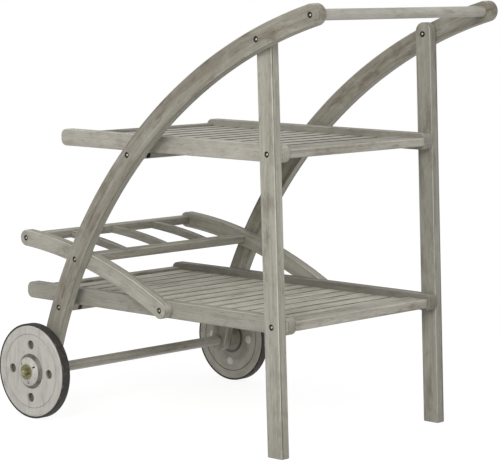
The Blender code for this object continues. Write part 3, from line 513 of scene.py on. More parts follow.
def fit(piece, slot, nodes, body=CHASSIS, tone=(0.0, 0.0)):
    """Give the piece its tones at the floor and at the top, and let it stand for nodes. The tones
    lighten or darken its colour; most are set to how light or shaded the piece stands, as painted
    light and shade.
    """
    if "tone" not in piece.data.attributes:
        layer = piece.data.attributes.new("tone", "FLOAT", "POINT")
        foot, top = tone
        layer.data.foreach_set("value", [foot + (top - foot) * vertex.co.z / TONE_HEIGHT
                                         for vertex in piece.data.vertices])
    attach(piece, body)
    if nodes:
        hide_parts(*nodes)


def dress(plan, name, mesh, slot, nodes=(), rounding=0.0, segments=4, finish=None, cuts=(),
          joins=(), smooth_angle=35.0, **fitting):
    """Piece from a closed mesh: rounded, with others cut out and joined, finished and fitted."""
    piece = new_object(name, mesh)
    if rounding:
        modifier = piece.modifiers.new("rounded edges", "BEVEL")
        modifier.width = rounding
        modifier.segments = segments
        modifier.limit_method = "ANGLE"
        modifier.angle_limit = math.radians(50.0)
    for operation, others in (("DIFFERENCE", cuts), ("UNION", joins)):
        for other in others:
            modifier = piece.modifiers.new("other body", "BOOLEAN")
            modifier.operation = operation
            modifier.solver = "EXACT"
            modifier.object = new_object(name + "_cutter", other)
    bake(piece, smooth_angle)
    piece.data.materials.clear()
    piece.data.materials.append(finish_for(finish or slot, plan))
    fit(piece, slot, nodes, **fitting)


# Node trees -------------------------------------------------------------------------------------

class NodeBench:
    """Short words for laying out a tree of nodes."""

    def __init__(self, tree):
        self.tree = tree

    def add(self, kind, wiring=None, **settings):
        """Add a node, and link or set its inputs by name or number."""
        node = self.tree.nodes.new(kind)
        for key, value in settings.items():
            setattr(node, key, value)
        for key, value in (wiring or {}).items():
            if isinstance(value, bpy.types.NodeSocket):
                self.tree.links.new(value, node.inputs[key])
            else:
                node.inputs[key].default_value = value
        return node

    def step(self, kind, wiring=None, output=0, **settings):
        """Add a node and return one of its outputs."""
        return self.add(kind, wiring, **settings).outputs[output]

    def maths(self, operation, *values):
        return self.step("ShaderNodeMath", dict(enumerate(values)), operation=operation)

    def times(self, product, *factors):
        for factor in factors:
            product = self.maths("MULTIPLY", product, factor)
        return product

    def away(self, value, other):
        """Distance between two values."""
        return self.maths("ABSOLUTE", self.maths("SUBTRACT", value, other))

    def vector(self, operation, *values):
        output = "Value" if operation in {"DOT_PRODUCT", "LENGTH"} else "Vector"
        return self.step("ShaderNodeVectorMath", dict(enumerate(values)), output,
                         operation=operation)

    def combine(self, *values):
        return self.step("ShaderNodeCombineXYZ", dict(enumerate(values)))

    def separate(self, vector):
        return self.add("ShaderNodeSeparateXYZ", {0: vector}).outputs

    def spread(self, value, low, high, to_low=0.0, to_high=1.0):
        """Value between low and high, brought smoothly to a new range."""
        return self.step("ShaderNodeMapRange", {
            "Value": value, "From Min": low, "From Max": high, "To Min": to_low,
            "To Max": to_high}, "Result", interpolation_type="SMOOTHSTEP")

    def layers(self, surface, coats):
        """Coats of colour over a surface, each a share and its colour."""
        for share, coat in coats:
            surface = self.step("ShaderNodeMix", {0: share, 6: surface, 7: coat}, 2,
                                data_type="RGBA", clamp_factor=True)
        return surface

    def noise(self, coordinates, stretch, detail, roughness, offset, distortion=0.0):
        """Noise whose grains are one over stretch long along each axis."""
        scaled = self.vector("MULTIPLY", coordinates, stretch)
        moved = self.vector("ADD", scaled, (offset, offset * 0.7, offset * 1.3))
        return self.step("ShaderNodeTexNoise", {
            "Vector": moved, "Scale": 1.0, "Detail": detail, "Roughness": roughness,
            "Distortion": distortion}, "Fac")


def linear(screen_colour):
    """Screen colour as the light value that a shader wants."""
    channels = [c / 12.92 if c <= 0.04045 else ((c + 0.055) / 1.055) ** 2.4 for c in screen_colour]
    return (*channels, 1.0)


class FinishBench(NodeBench):
    """Bench for the tree of a material."""

    def __init__(self, name, roughness, metallic=0.0, specular=0.5):
        self.material = bpy.data.materials.new(name)
        self.material.use_nodes = True
        super().__init__(self.material.node_tree)
        self.shader = self.tree.nodes["Principled BSDF"]
        for socket, value in (("Roughness", roughness), ("Metallic", metallic),
                              ("Specular IOR Level", specular)):
            self.shader.inputs[socket].default_value = value
        coordinates = self.add("ShaderNodeTexCoord").outputs
        self.place, self.normal = coordinates["Object"], coordinates["Normal"]

    def close(self, surface, roughness, relief, strength, distance):
        """Feed the shader its colour, its roughness and its relief."""
        normal = self.step("ShaderNodeBump", {"Strength": strength, "Distance": distance,
                                              "Height": relief}, "Normal")
        for socket, value in (("Base Color", surface), ("Roughness", roughness),
                              ("Normal", normal)):
            self.tree.links.new(value, self.shader.inputs[socket])
        return self.material


def straight_grain(along, across):
    """Grain that runs straight along one direction. Gives its coordinates and their axes."""
    along, across = Vector(along).normalized(), Vector(across).normalized()
    axes = [tuple(axis) for axis in (along, across, along.cross(across))]

    def lay(bench):
        return bench.combine(*[bench.vector("DOT_PRODUCT", bench.place, axis)
                               for axis in axes]), axes
    return lay


def curved_grain(centre, radius):
    """Grain that follows an arc about a centre in the x, z plane."""
    def lay(bench):
        spoke = bench.vector("SUBTRACT", bench.place, (centre.x, 0.0, centre.y))
        spoke = bench.vector("MULTIPLY", spoke, (1.0, 0.0, 1.0))
        x, _, z = bench.separate(spoke)
        outwards = bench.vector("NORMALIZE", spoke)
        grain = bench.combine(bench.times(bench.maths("ARCTAN2", z, x), radius),
                              bench.vector("LENGTH", spoke),
                              bench.vector("DOT_PRODUCT", bench.place, ALONG_Y))
        return grain, (bench.vector("CROSS_PRODUCT", outwards, ALONG_Y), outwards, ALONG_Y)
    return lay


def weathered_wood(name, colours, lay_grain, wash, stained, streaked, worn_and_lit, seed,
                   edge_line=None, side_shade=0.0):
    """Wood under a thin grey wash: streaks along the grain, brown stains, pale rubbed edges that
    are partly painted highlight. Painted light and shade besides: paler faces that look down, dark
    edges that face down, and dark sides on the slats and legs.
    """
    bench = FinishBench(name, 0.62, specular=0.30)
    spread, times = bench.spread, bench.times
    grain, axes = lay_grain(bench)
    stain, fibre_and_shade, pale_wood_and_light = [linear(c) for c in (colours.stain, colours.fibre_and_shade, colours.worn_and_lit)]

    def noise(along, across, detail, roughness, offset, distortion=0.0):
        return bench.noise(grain, (along, across, across), detail, roughness, seed + offset,
                           distortion)

    broad = noise(2.6, 34.0, 4.0, 0.60, 7.7, 0.3)
    stains = noise(13.0, 42.0, 4.0, 0.64, 11.3)
    streaks = noise(3.6, 150.0, 4.0, 0.62, 0.0, 0.2)
    pale = noise(4.4, 105.0, 4.0, 0.60, 19.9)
    fine = noise(17.0, 620.0, 3.0, 0.58, 3.1)
    pores = noise(52.0, 1300.0, 1.0, 0.5, 23.0)
    patches = noise(17.0, 30.0, 5.0, 0.70, 41.0, 0.6)
    end_pattern = noise(420.0, 420.0, 3.0, 0.6, 31.0)

    along, across, third = [bench.vector("DOT_PRODUCT", bench.normal, axis) for axis in axes]
    down = bench.vector("DOT_PRODUCT", bench.normal, (0.0, 0.0, -1.0))
    sideways = bench.vector("DOT_PRODUCT", bench.normal, ALONG_Y)
    slope = bench.maths("ABSOLUTE", across)
    end, sideways = times(along, along), times(sideways, sideways)
    rim = times(end, sideways, bench.maths("SUBTRACT", 8.0, times(sideways, 8.0)))

    coats = [(spread(broad, 0.44, 0.64, 0.0, 0.55 * stained), stain),
             (spread(stains, 0.50, 0.68, 0.0, stained), stain),
             (spread(pale, 0.50, 0.68, 0.0, 0.06 + 0.5 * streaked), pale_wood_and_light),
             (spread(patches, 0.53, 0.66, 0.0, 0.12 + 0.30 * stained), fibre_and_shade),
             (spread(patches, 0.34, 0.46, 0.16, 0.0), pale_wood_and_light),
             (spread(streaks, 0.50, 0.70, 0.0, 0.8 * streaked), fibre_and_shade),
             (spread(fine, 0.50, 0.68, 0.0, 0.6 * streaked), fibre_and_shade),
             (spread(pores, 0.62, 0.70, 0.0, 0.45), fibre_and_shade)]
    # Rubbed edges, pale: partly wear and partly painted highlight.
    if worn_and_lit:
        edge = times(across, across, third, third, 4.0)
        rubbed = times(spread(edge, 0.20, 0.80), spread(stains, 0.36, 0.62, worn_and_lit, 0.35 * worn_and_lit))
        # Where the edge faces down, the dark grain colour instead: painted shade.
        coats.append((rubbed, bench.layers(pale_wood_and_light, [(spread(down, 0.08, 0.30), fibre_and_shade)])))
    # Sides of slats and legs darkened: painted shade, as between the slats.
    if side_shade:
        shaded = spread(stains, 0.38, 0.60, side_shade, 0.6 * side_shade)
        coats.append((times(spread(slope, 0.03, 0.24), shaded), linear(colours.gap)))
    # Faces that look down are painted paler: painted light from the floor below.
    coats.append((spread(down, 0.15, 0.75, 0.0, 0.34), pale_wood_and_light))
    if edge_line:
        reach = bench.maths("ABSOLUTE", bench.vector("DOT_PRODUCT", bench.place, ALONG_Y))
        line = spread(bench.away(reach, edge_line), 0.0006, 0.0018, 0.66, 0.0)
        coats.append((times(line, spread(slope, 0.80, 0.98), spread(broad, 0.36, 0.56, 0.55, 1.0)),
                      fibre_and_shade))
    coats += [(times(spread(end, 0.35, 0.8), spread(end_pattern, 0.3, 0.7, 0.05, 0.45)), stain),
              (spread(rim, 0.20, 0.75, 0.0, 0.62), fibre_and_shade)]

    lift = bench.maths("ADD", bench.step("ShaderNodeAttribute", output="Fac",
                                         attribute_name="tone"), 1.0)
    surface = bench.vector("MULTIPLY", bench.layers(linear(wash), coats),
                           bench.combine(lift, lift, lift))
    relief = bench.maths("SUBTRACT", times(fine, 0.7), times(pores, 0.4))
    return bench.close(surface, spread(streaks, 0.35, 0.65, 0.52, 0.74), relief, 0.55, 0.0006)


def moulded_plastic(name, plan):
    """Grey plastic of the wheel discs, streaked where it flowed. Painted shade in its dimples,
    round the hub's cone and in the hub's slots, painted highlights on the tips of the bosses, and a
    darker, mottled inner face.
    """
    bench = FinishBench(name, 0.42, specular=0.45)
    spread, times, away = bench.spread, bench.times, bench.away
    f, colours = plan.fittings, plan.colours
    grime_and_shade = linear(colours.grime_and_shade)
    grain = curved_grain(plan.axle, 0.06)(bench)[0]
    _, reach, depth = bench.separate(grain)
    out = bench.maths("ABSOLUTE", depth)
    low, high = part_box("tyre_right")
    face = high.y + f.face_rise
    half = (face - low.y) / 2
    clouds = bench.noise(grain, (34.0, 60.0, 60.0), 4.0, 0.6, 2.0)
    flow = bench.noise(bench.place, (130.0, 60.0, 22.0), 4.0, 0.62, 9.0, 0.4)
    specks = bench.noise(bench.place, (900.0, 900.0, 900.0), 2.0, 0.6, 5.0)
    inner = spread(out, low.y + 0.0006, low.y + 0.0030, 1.0, 0.0)
    hub_darkening = spread(reach, f.hub_base_radius, f.groove_radius - 0.006, 0.34, 0.06)
    groove = spread(away(reach, f.groove_radius), 0.0004, 0.0016, 1.0, 0.0)
    # Ring round the hub's cone, darkened as painted shade.
    hub_wall_shade = times(spread(reach, f.hub_shoulder_radius, f.hub_shoulder_radius + 0.0015),
                 spread(reach, f.hub_base_radius - 0.0006, f.hub_base_radius + 0.0014, 1.0, 0.0))
    dimples = spread(away(reach, f.dimple_circle), f.dimple_radius * 0.7, f.dimple_radius, 1.0, 0.0)
    # Inside the hub's slots, painted near black: painted shade.
    slots = times(spread(reach, f.hub_slot_end, f.hub_slot_end + 0.0012, 1.0, 0.0),
                  spread(out, face + 0.0064, face + 0.0086, 1.0, 0.0),
                  spread(out, face, face + 0.0006))
    surface = bench.layers(linear(colours.disc), [
        (spread(clouds, 0.42, 0.72, 0.0, 0.30), linear((0.60, 0.57, 0.53))),
        (spread(flow, 0.48, 0.72, 0.0, 0.45), linear((0.56, 0.54, 0.50))),
        (spread(specks, 0.62, 0.75, 0.0, 0.30), linear((0.45, 0.43, 0.40))),
        # Painted shade deep in the recesses, chiefly the dimples.
        (spread(away(out, face - half), half - 0.0075, half - 0.0005, 0.80, 0.0), grime_and_shade),
        # Inner face: a darker, yellower grey, darker still towards the hub, mottled, with the ring
        # groove darker.
        (times(inner, 0.9), linear((0.74, 0.725, 0.67))),
        (times(inner, hub_darkening), grime_and_shade),
        (times(inner, spread(clouds, 0.36, 0.72, 0.0, 0.34)), grime_and_shade),
        (times(groove, spread(out, low.y, face, 0.85, 0.36)), grime_and_shade),
        (times(hub_wall_shade, spread(clouds, 0.36, 0.60, 1.0, 0.80)), grime_and_shade),
        # Tips of the bosses on the inner face, painted pale: painted highlight.
        (times(dimples, spread(out, low.y - 0.0012, low.y - 0.0003, 1.0, 0.0)),
         linear(colours.worn_and_lit)),
        # Painted shade in the hub's slots.
        (slots, linear((0.10, 0.09, 0.08)))])
    return bench.close(surface, spread(clouds, 0.3, 0.7, 0.36, 0.50), specks, 0.25, 0.0002)


def tyre_rubber(name, plan):
    """Dark rubber with a rubbed tread."""
    bench = FinishBench(name, 0.72, specular=0.4)
    base = plan.colours.tyre
    grain = curved_grain(plan.axle, 0.1)(bench)[0]
    scuffs = bench.noise(grain, (75.0, 60.0, 420.0), 3.0, 0.60, 4.0)
    dust = bench.noise(grain, (16.0, 90.0, 90.0), 3.0, 0.6, 8.0)
    surface = bench.layers(linear(base), [
        (bench.spread(dust, 0.45, 0.75, 0.0, 0.6), linear([c + 0.06 for c in base])),
        (bench.spread(scuffs, 0.54, 0.64, 0.0, 0.60), linear((0.40, 0.39, 0.36)))])
    return bench.close(surface, bench.spread(dust, 0.3, 0.7, 0.62, 0.80), scuffs, 0.3, 0.0003)


def metal(name, base, stained, roughness, metallic):
    """Metal with faint stains and small scratches."""
    bench = FinishBench(name, roughness, metallic)
    stains = bench.noise(bench.place, (160.0, 160.0, 160.0), 4.0, 0.6, 6.0)
    scratches = bench.noise(bench.place, (240.0, 2400.0, 900.0), 2.0, 0.5, 12.0)
    surface = bench.layers(linear(base), [(bench.spread(stains, 0.40, 0.70),
                                           linear([c * stained for c in base]))])
    shine = bench.spread(scratches, 0.3, 0.75, roughness * 0.8, roughness * 1.35)
    return bench.close(surface, shine, scratches, 0.15, 0.0001)


def finish_for(kind, plan):
    """The cart's finishes by name. Each is made once."""
    name = "finish_" + kind
    if name in bpy.data.materials:
        return bpy.data.materials[name]
    c = plan.colours
    lean = plan.leg_direction
    along_x = straight_grain((1, 0, 0), (0, 0, 1))
    along_y = straight_grain((0, 1, 0), (1, 0, 0))
    along_leg = straight_grain((lean.x, 0, lean.y), (lean.y, 0, -lean.x))
    along_bow, along_rack = curved_grain(plan.bow_centre, 1.0), curved_grain(plan.rack_centre, 1.0)
    faces = {"bow": plan.bow_outer, "leg": plan.bow_inner, "rack": plan.bow_inner}
    lines = {part: y - EDGE_LINE_INSETS[part] for part, y in faces.items()}
    # Grain and wash, how stained, streaked and rubbed (the pale edges partly painted highlight),
    # seed, y of a dark edge line, painted shade on the sides.
    woods = {
        "bow_wood": (along_bow, c.bow, 0.68, 0.30, 0.9, 1.0, lines["bow"]),
        "leg_wood": (along_leg, c.leg, 0.38, 0.30, 1.0, 4.0, lines["leg"], 0.12),
        "shelf_wood": (along_x, c.shelf, 0.26, 0.18, 0.9, 9.0),
        "shelf_cross_wood": (along_y, c.shelf, 0.55, 0.35, 0.35, 14.0),
        "upper_slat_wood": (along_y, c.slat, 0.42, 0.62, 0.9, 21.0, None, 1.6),
        "lower_slat_wood": (along_y, c.slat, 0.38, 0.60, 0.6, 27.0, None, 0.78),
        "rack_wood": (along_rack, c.rack, 0.36, 0.26, 0.9, 33.0, lines["rack"]),
        "rack_cross_wood": (along_y, c.rack, 0.30, 0.45, 0.8, 38.0),
        "divider_wood": (along_x, c.rack, 0.45, 0.35, 1.0, 45.0),
        "stretcher_wood": (along_y, c.rack, 0.55, 0.5, 0.4, 52.0),
        "dowel_wood": (along_y, c.dowel, 0.35, 0.4, 0.0, 61.0),
    }
    # Colour, how bright its stains are against it, roughness and metallic share.
    metals = {
        "zinc_yellow": (c.zinc, 0.72, 0.40, 1.0),
        "zinc_dull": (c.dull_zinc, 0.70, 0.34, 0.7),
        "bright_steel": (c.bright_steel, 0.85, 0.26, 1.0),
        "dark_steel": (c.dark_steel, 1.6, 0.45, 0.6),
        "oxide_steel": (c.oxide, 0.7, 0.5, 0.5),
    }
    if kind in woods:
        return weathered_wood(name, c, *woods[kind])
    if kind in metals:
        return metal(name, *metals[kind])
    return {"disc_plastic": moulded_plastic, "tyre_rubber": tyre_rubber}[kind](name, plan)


# Geometry Nodes ---------------------------------------------------------------------------------

class GeometryBench(NodeBench):
    """Geometry node tree with named inputs, laid out in code and baked to a plain mesh."""

    def __init__(self, name, inputs):
        super().__init__(bpy.data.node_groups.new(name, "GeometryNodeTree"))
        face = self.tree.interface
        for way in ("INPUT", "OUTPUT"):
            face.new_socket("Geometry", in_out=way, socket_type="NodeSocketGeometry")
        kinds = {int: "Int", float: "Float", tuple: "Vector", bpy.types.Material: "Material"}
        self.values = {}
        for label, value in inputs.items():
            kind = next(kinds[k] for k in kinds if isinstance(value, k))
            socket = face.new_socket(label, in_out="INPUT", socket_type="NodeSocket" + kind)
            self.values[socket.identifier] = value
        self.source = self.add("NodeGroupInput")
        self.result = self.add("NodeGroupOutput")

    def __getitem__(self, label):
        """What the tree is given under that name."""
        return self.source.outputs[label]

    def prism(self, line):
        """Bar along a line with eased edges."""
        section = self.step("GeometryNodeCurvePrimitiveQuadrilateral", {
            "Width": self["Width"], "Height": self["Height"]})
        section = self.step("GeometryNodeFilletCurve", {
            "Curve": section, "Radius": self["Rounding"], "Count": 4, "Limit Radius": True},
            mode="POLY")
        return self.step("GeometryNodeCurveToMesh", {"Curve": line, "Profile Curve": section,
                                                     "Fill Caps": True})

    def attribute(self, name, kind):
        node = self.add("GeometryNodeInputNamedAttribute", {"Name": name}, data_type=kind)
        return next(socket for socket in node.outputs if socket.enabled)

    def moved(self, geometry, height, scale=(1.0, 1.0, 1.0)):
        return self.step("GeometryNodeTransform", {
            "Geometry": geometry, "Translation": (0.0, 0.0, height), "Scale": scale})

    def clad(self, row, label):
        """Make the instances real and give them a material."""
        row = self.step("GeometryNodeRealizeInstances", {"Geometry": row})
        return self.step("GeometryNodeSetMaterial", {"Geometry": row, "Material": self[label]})

    def finish(self, name, geometry, start=None):
        """Bake the tree's result into a mesh of its own, with only the materials it uses."""
        self.tree.links.new(geometry, self.result.inputs[0])
        piece = new_object(name, start or bmesh.new())
        modifier = piece.modifiers.new("nodes", "NODES")
        modifier.node_group = self.tree
        for identifier, value in self.values.items():
            modifier[identifier] = value
        bake(piece, 40.0)
        mesh = piece.data
        used = [index for index, material in enumerate(mesh.materials) if material]
        materials = [mesh.materials[index] for index in used]
        places = [used.index(face.material_index) for face in mesh.polygons]
        mesh.materials.clear()
        for material in materials:
            mesh.materials.append(material)
        mesh.polygons.foreach_set("material_index", places)
        return piece


def slat_row(name, inputs):
    """Row of like slats that lie along Y; the last may be narrower."""
    bench = GeometryBench(name + "_row", inputs)
    maths, times = bench.maths, bench.times
    start, end = [bench.combine(0.0, times(bench["Half Length"], way), 0.0) for way in (-1.0, 1.0)]
    slat = bench.prism(bench.step("GeometryNodeCurvePrimitiveLine", {"Start": start, "End": end}))
    last = maths("COMPARE", bench.step("GeometryNodeInputIndex"),
                 maths("SUBTRACT", bench["Count"], 1.0))
    narrowing = maths("SUBTRACT", maths("DIVIDE", bench["Last Width"], bench["Width"]), 1.0)
    width_scale = maths("ADD", times(last, narrowing), 1.0)
    shift = times(last, maths("SUBTRACT", bench["Width"], bench["Last Width"]), 0.5)
    points = bench.step("GeometryNodeMeshLine", {
        "Count": bench["Count"], "Start Location": bench["First"],
        "Offset": bench.combine(times(bench["Pitch"], -1.0), 0.0, 0.0)})
    points = bench.step("GeometryNodeSetPosition", {
        "Geometry": points, "Offset": bench.combine(shift, 0.0, 0.0)})
    row = bench.step("GeometryNodeInstanceOnPoints", {
        "Points": points, "Instance": slat, "Scale": bench.combine(width_scale, 1.0, 1.0)})
    low, high = [maths(way, bench["Tone"], bench["Tone Spread"]) for way in ("SUBTRACT", "ADD")]
    tone = bench.step("FunctionNodeRandomValue", {2: low, 3: high, "Seed": bench["Seed"]}, 1,
                      data_type="FLOAT")
    row = bench.step("GeometryNodeStoreNamedAttribute", {
        "Geometry": row, "Name": "tone", "Value": tone}, data_type="FLOAT", domain="INSTANCE")
    return bench.finish(name, bench.clad(row, "Wood"))


# Operators --------------------------------------------------------------------------------------

class CartPiece:
    """What the operators for the cart's pieces share."""

    bl_options = {"REGISTER", "UNDO"}

    def execute(self, context):
        self.make(CartPlan(context.scene))
        return {"FINISHED"}

    def side_boards(self, plan, carrier, name, outline, inner, wood, tones, bore=0.0):
        """Left and right board of one kind, each with its tones and recesses for bolt heads."""
        centres, face = plan.bolts(carrier)
        f = plan.fittings
        for (side_name, side), tone in zip(SIDES.items(), tones):
            cuts = [rod(plan.axle, bore, -face - OVERRUN, face + OVERRUN)] if bore else []
            cuts.append(together([rod(centre, f.counterbore_radius,
                                      side * (face - f.counterbore_depth),
                                      side * (face + OVERRUN), 40) for centre in centres]))
            dress(plan, f"{side_name}_{name}", board(outline, side * inner, side * face), wood,
                  [f"{carrier}_{side_name}"], plan.sizes.edge_rounding, cuts=cuts, tone=tone)


class TEACART_OT_bows(CartPiece, bpy.types.Operator):
    """Two curved bows from the axle to the handle"""
    bl_idname = "tea_cart.bows"
    bl_label = "Bows"

    def make(self, plan):
        # Tones at the foot and at the top: the right (far) bow's foot is lighter, painted light
        # where the shelves shade it.
        self.side_boards(plan, "bow", "bow_board", plan.bow_outline(), plan.bow_inner, "bow_wood",
                         ((0.04, -0.05), (0.26, -0.12)), BOW_BORE)


class TEACART_OT_legs(CartPiece, bpy.types.Operator):
    """Two straight legs inside the bows"""
    bl_idname = "tea_cart.legs"
    bl_label = "Legs"

    def make(self, plan):
        # The right (far) leg gets darker tones: painted shade.
        self.side_boards(plan, "leg", "leg_board", plan.leg_outline(), plan.leg_inner, "leg_wood",
                         ((-0.10, 0.01), (-0.26, -0.22)))


class TEACART_OT_shelf_rails(CartPiece, bpy.types.Operator):
    """Side rails of both shelves, with round ends"""
    bl_idname = "tea_cart.shelf_rails"
    bl_label = "Shelf Rails"

    def make(self, plan):
        # The right (far) rails and the lower rails get darker tones: painted shade.
        tones = {"upper": {"left": -0.03, "right": -0.30}, "lower": {"left": -0.22, "right": -0.49}}
        for shelf in SHELVES:
            for side_name, side in SIDES.items():
                node = f"{shelf}_side_rail_{side_name}"
                outline = rounded_box(*flat_box(node), plan.sizes.shelf_rail_corner, 12)
                rail = board(outline, side * plan.rail_inner, side * (plan.leg_inner - SEAT_GAP))
                dress(plan, f"{shelf}_rail_{side_name}", rail, "shelf_wood", [node],
                      plan.sizes.edge_rounding, tone=[tones[shelf][side_name]] * 2)


class TEACART_OT_slats(CartPiece, bpy.types.Operator):
    """Slats of both shelves, repeated by geometry nodes"""
    bl_idname = "tea_cart.slats"
    bl_label = "Slats"

    def make(self, plan):
        # The lower slats get a lighter tone than the upper ones: painted light where the upper
        # shelf shades them; the spread between slats is random.
        for shelf, tone, rounding, seed in (("upper", 0.24, plan.sizes.upper_slat_rounding, 3),
                                            ("lower", 0.44, plan.sizes.lower_slat_rounding, 4)):
            nodes = sorted(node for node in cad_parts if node.startswith(shelf + "_slat_"))
            (low, high), (last_low, last_high) = flat_box(nodes[0]), flat_box(nodes[-1])
            size, middle = high - low, (low + high) / 2
            slats = slat_row(shelf + "_slats", {
                "First": (middle.x, 0.0, middle.y), "Count": len(nodes),
                "Pitch": (high.x - last_high.x) / (len(nodes) - 1), "Width": size.x,
                "Height": size.y, "Half Length": plan.rail_inner - SEAT_GAP,
                "Last Width": last_high.x - last_low.x, "Rounding": rounding, "Tone": tone,
                "Tone Spread": 0.08, "Seed": seed, "Wood": finish_for(shelf + "_slat_wood", plan)})
            fit(slats, "slat_wood", nodes)


class TEACART_OT_end_pieces(CartPiece, bpy.types.Operator):
    """End rails and end boards that close the shelves"""
    bl_idname = "tea_cart.end_pieces"
    bl_label = "Shelf End Pieces"

    def make(self, plan):
        reach = plan.rail_inner - SEAT_GAP
        # The upper end rail gets a much darker tone: painted shade on its face.
        for node, tone in (("upper_end_rail", -0.45), ("upper_end_board", -0.08),
                           ("lower_end_rail", -0.08), ("lower_end_board", -0.08)):
            outline = rounded_box(*flat_box(node), END_PIECE_CORNER, 6)
            dress(plan, node + "_piece", board(outline, -reach, reach), "shelf_wood", [node],
                  plan.sizes.end_easing, finish="shelf_cross_wood", tone=(tone, tone))


class TEACART_OT_stretchers(CartPiece, bpy.types.Operator):
    """Cross bars under the shelves, with holes for their barrel nuts"""
    bl_idname = "tea_cart.stretchers"
    bl_label = "Stretchers"

    def make(self, plan):
        sizes, reach = plan.sizes, plan.bow_inner - SEAT_GAP
        radius = plan.fittings.nut_radius + SEAT_GAP
        hole = [(0.0, 0.0), (radius, 0.0), (radius, NUT_HOLE_DEPTH), (0.0, NUT_HOLE_DEPTH)]
        for name, centre in plan.stretchers.items():
            section = bar_section(sizes.stretcher_width, sizes.stretcher_height,
                                  sizes.stretcher_rounding, centre, sizes.stretcher_tilt)
            dress(plan, name + "_cross_bar", board(section, -reach, reach), "stretcher_wood",
                  [name + "_stretcher"], sizes.end_easing, cuts=[nut_pair(plan, centre, hole)])


class TEACART_OT_rack(CartPiece, bpy.types.Operator):
    """Bottle rack: curved side rails, cross bars and dividers"""
    bl_idname = "tea_cart.rack"
    bl_label = "Bottle Rack"

    def make(self, plan):
        # The right (far) rack rail gets a slightly lighter tone: painted light.
        self.side_boards(plan, "rack_side_rail", "rack_rail", plan.rack_rail_outline(),
                         plan.leg_inner, "rack_wood", ((0.0, 0.0), (0.06, 0.06)))
        sizes, reach = plan.sizes, plan.leg_inner - SEAT_GAP
        half = sizes.rack_bar_size / 2
        ends = []
        for name, centre, way, drop in (
                ("front", plan.rack_front, 1, sizes.divider_front_drop),
                ("back", plan.rack_bow_bolt, -1, sizes.divider_back_drop)):
            tilt = plan.rack_tilt(centre)
            section = bar_section(2 * half, 2 * half, sizes.rack_bar_rounding, centre, tilt)
            dress(plan, f"rack_{name}_cross_bar", board(section, -reach, reach), "rack_wood",
                  [f"rack_{name}_bar"], sizes.end_easing, finish="rack_cross_wood")
            across, up = tilted_axes(tilt)
            ends.append(centre + across * way * (half - DIVIDER_TENON)
                        + up * (half - drop - sizes.divider_height / 2))
        self.make_dividers(plan, *ends)

    def make_dividers(self, plan, start, end):
        """Slightly curved bars from the front bar to the back bar."""
        sizes = plan.sizes
        lift = (end - start).length ** 2 / (4 * sizes.rack_radius)
        middle = (start + end) / 2 + Vector((0.0, lift))
        bench = GeometryBench("dividers", {
            "Start": (start.x, 0.0, start.y), "Middle": (middle.x, 0.0, middle.y),
            "End": (end.x, 0.0, end.y), "Count": sizes.divider_count,
            "Pitch": sizes.divider_pitch, "Width": sizes.divider_thickness,
            "Height": sizes.divider_height, "Rounding": sizes.divider_rounding,
            "Wood": finish_for("divider_wood", plan)})
        bar = bench.prism(bench.step("GeometryNodeCurveQuadraticBezier", {
            "Resolution": 20, "Start": bench["Start"], "Middle": bench["Middle"],
            "End": bench["End"]}))
        reach = bench.times(bench.maths("SUBTRACT", bench["Count"], 1.0), -0.5, bench["Pitch"])
        points = bench.step("GeometryNodeMeshLine", {
            "Count": bench["Count"], "Start Location": bench.combine(0.0, reach, 0.0),
            "Offset": bench.combine(0.0, bench["Pitch"], 0.0)})
        row = bench.step("GeometryNodeInstanceOnPoints", {"Points": points, "Instance": bar})
        dividers = bench.finish("bottle_dividers", bench.clad(row, "Wood"))
        fit(dividers, "rack_wood", [f"rack_divider_{n + 1}" for n in range(sizes.divider_count)],
            tone=(-0.24, -0.24))


class TEACART_OT_dowels(CartPiece, bpy.types.Operator):
    """Round handle and round axle beam"""
    bl_idname = "tea_cart.dowels"
    bl_label = "Handle and Axle Beam"

    def make(self, plan):
        reach = plan.bow_inner - SEAT_GAP
        for node in ("handle", "axle_beam"):
            low, high = flat_box(node)
            bar = rod(middle_of(node), (high.y - low.y) / 2, -reach, reach, 64,
                      plan.sizes.end_easing)
            dress(plan, node + "_bar", bar, "dowel_wood", [node])


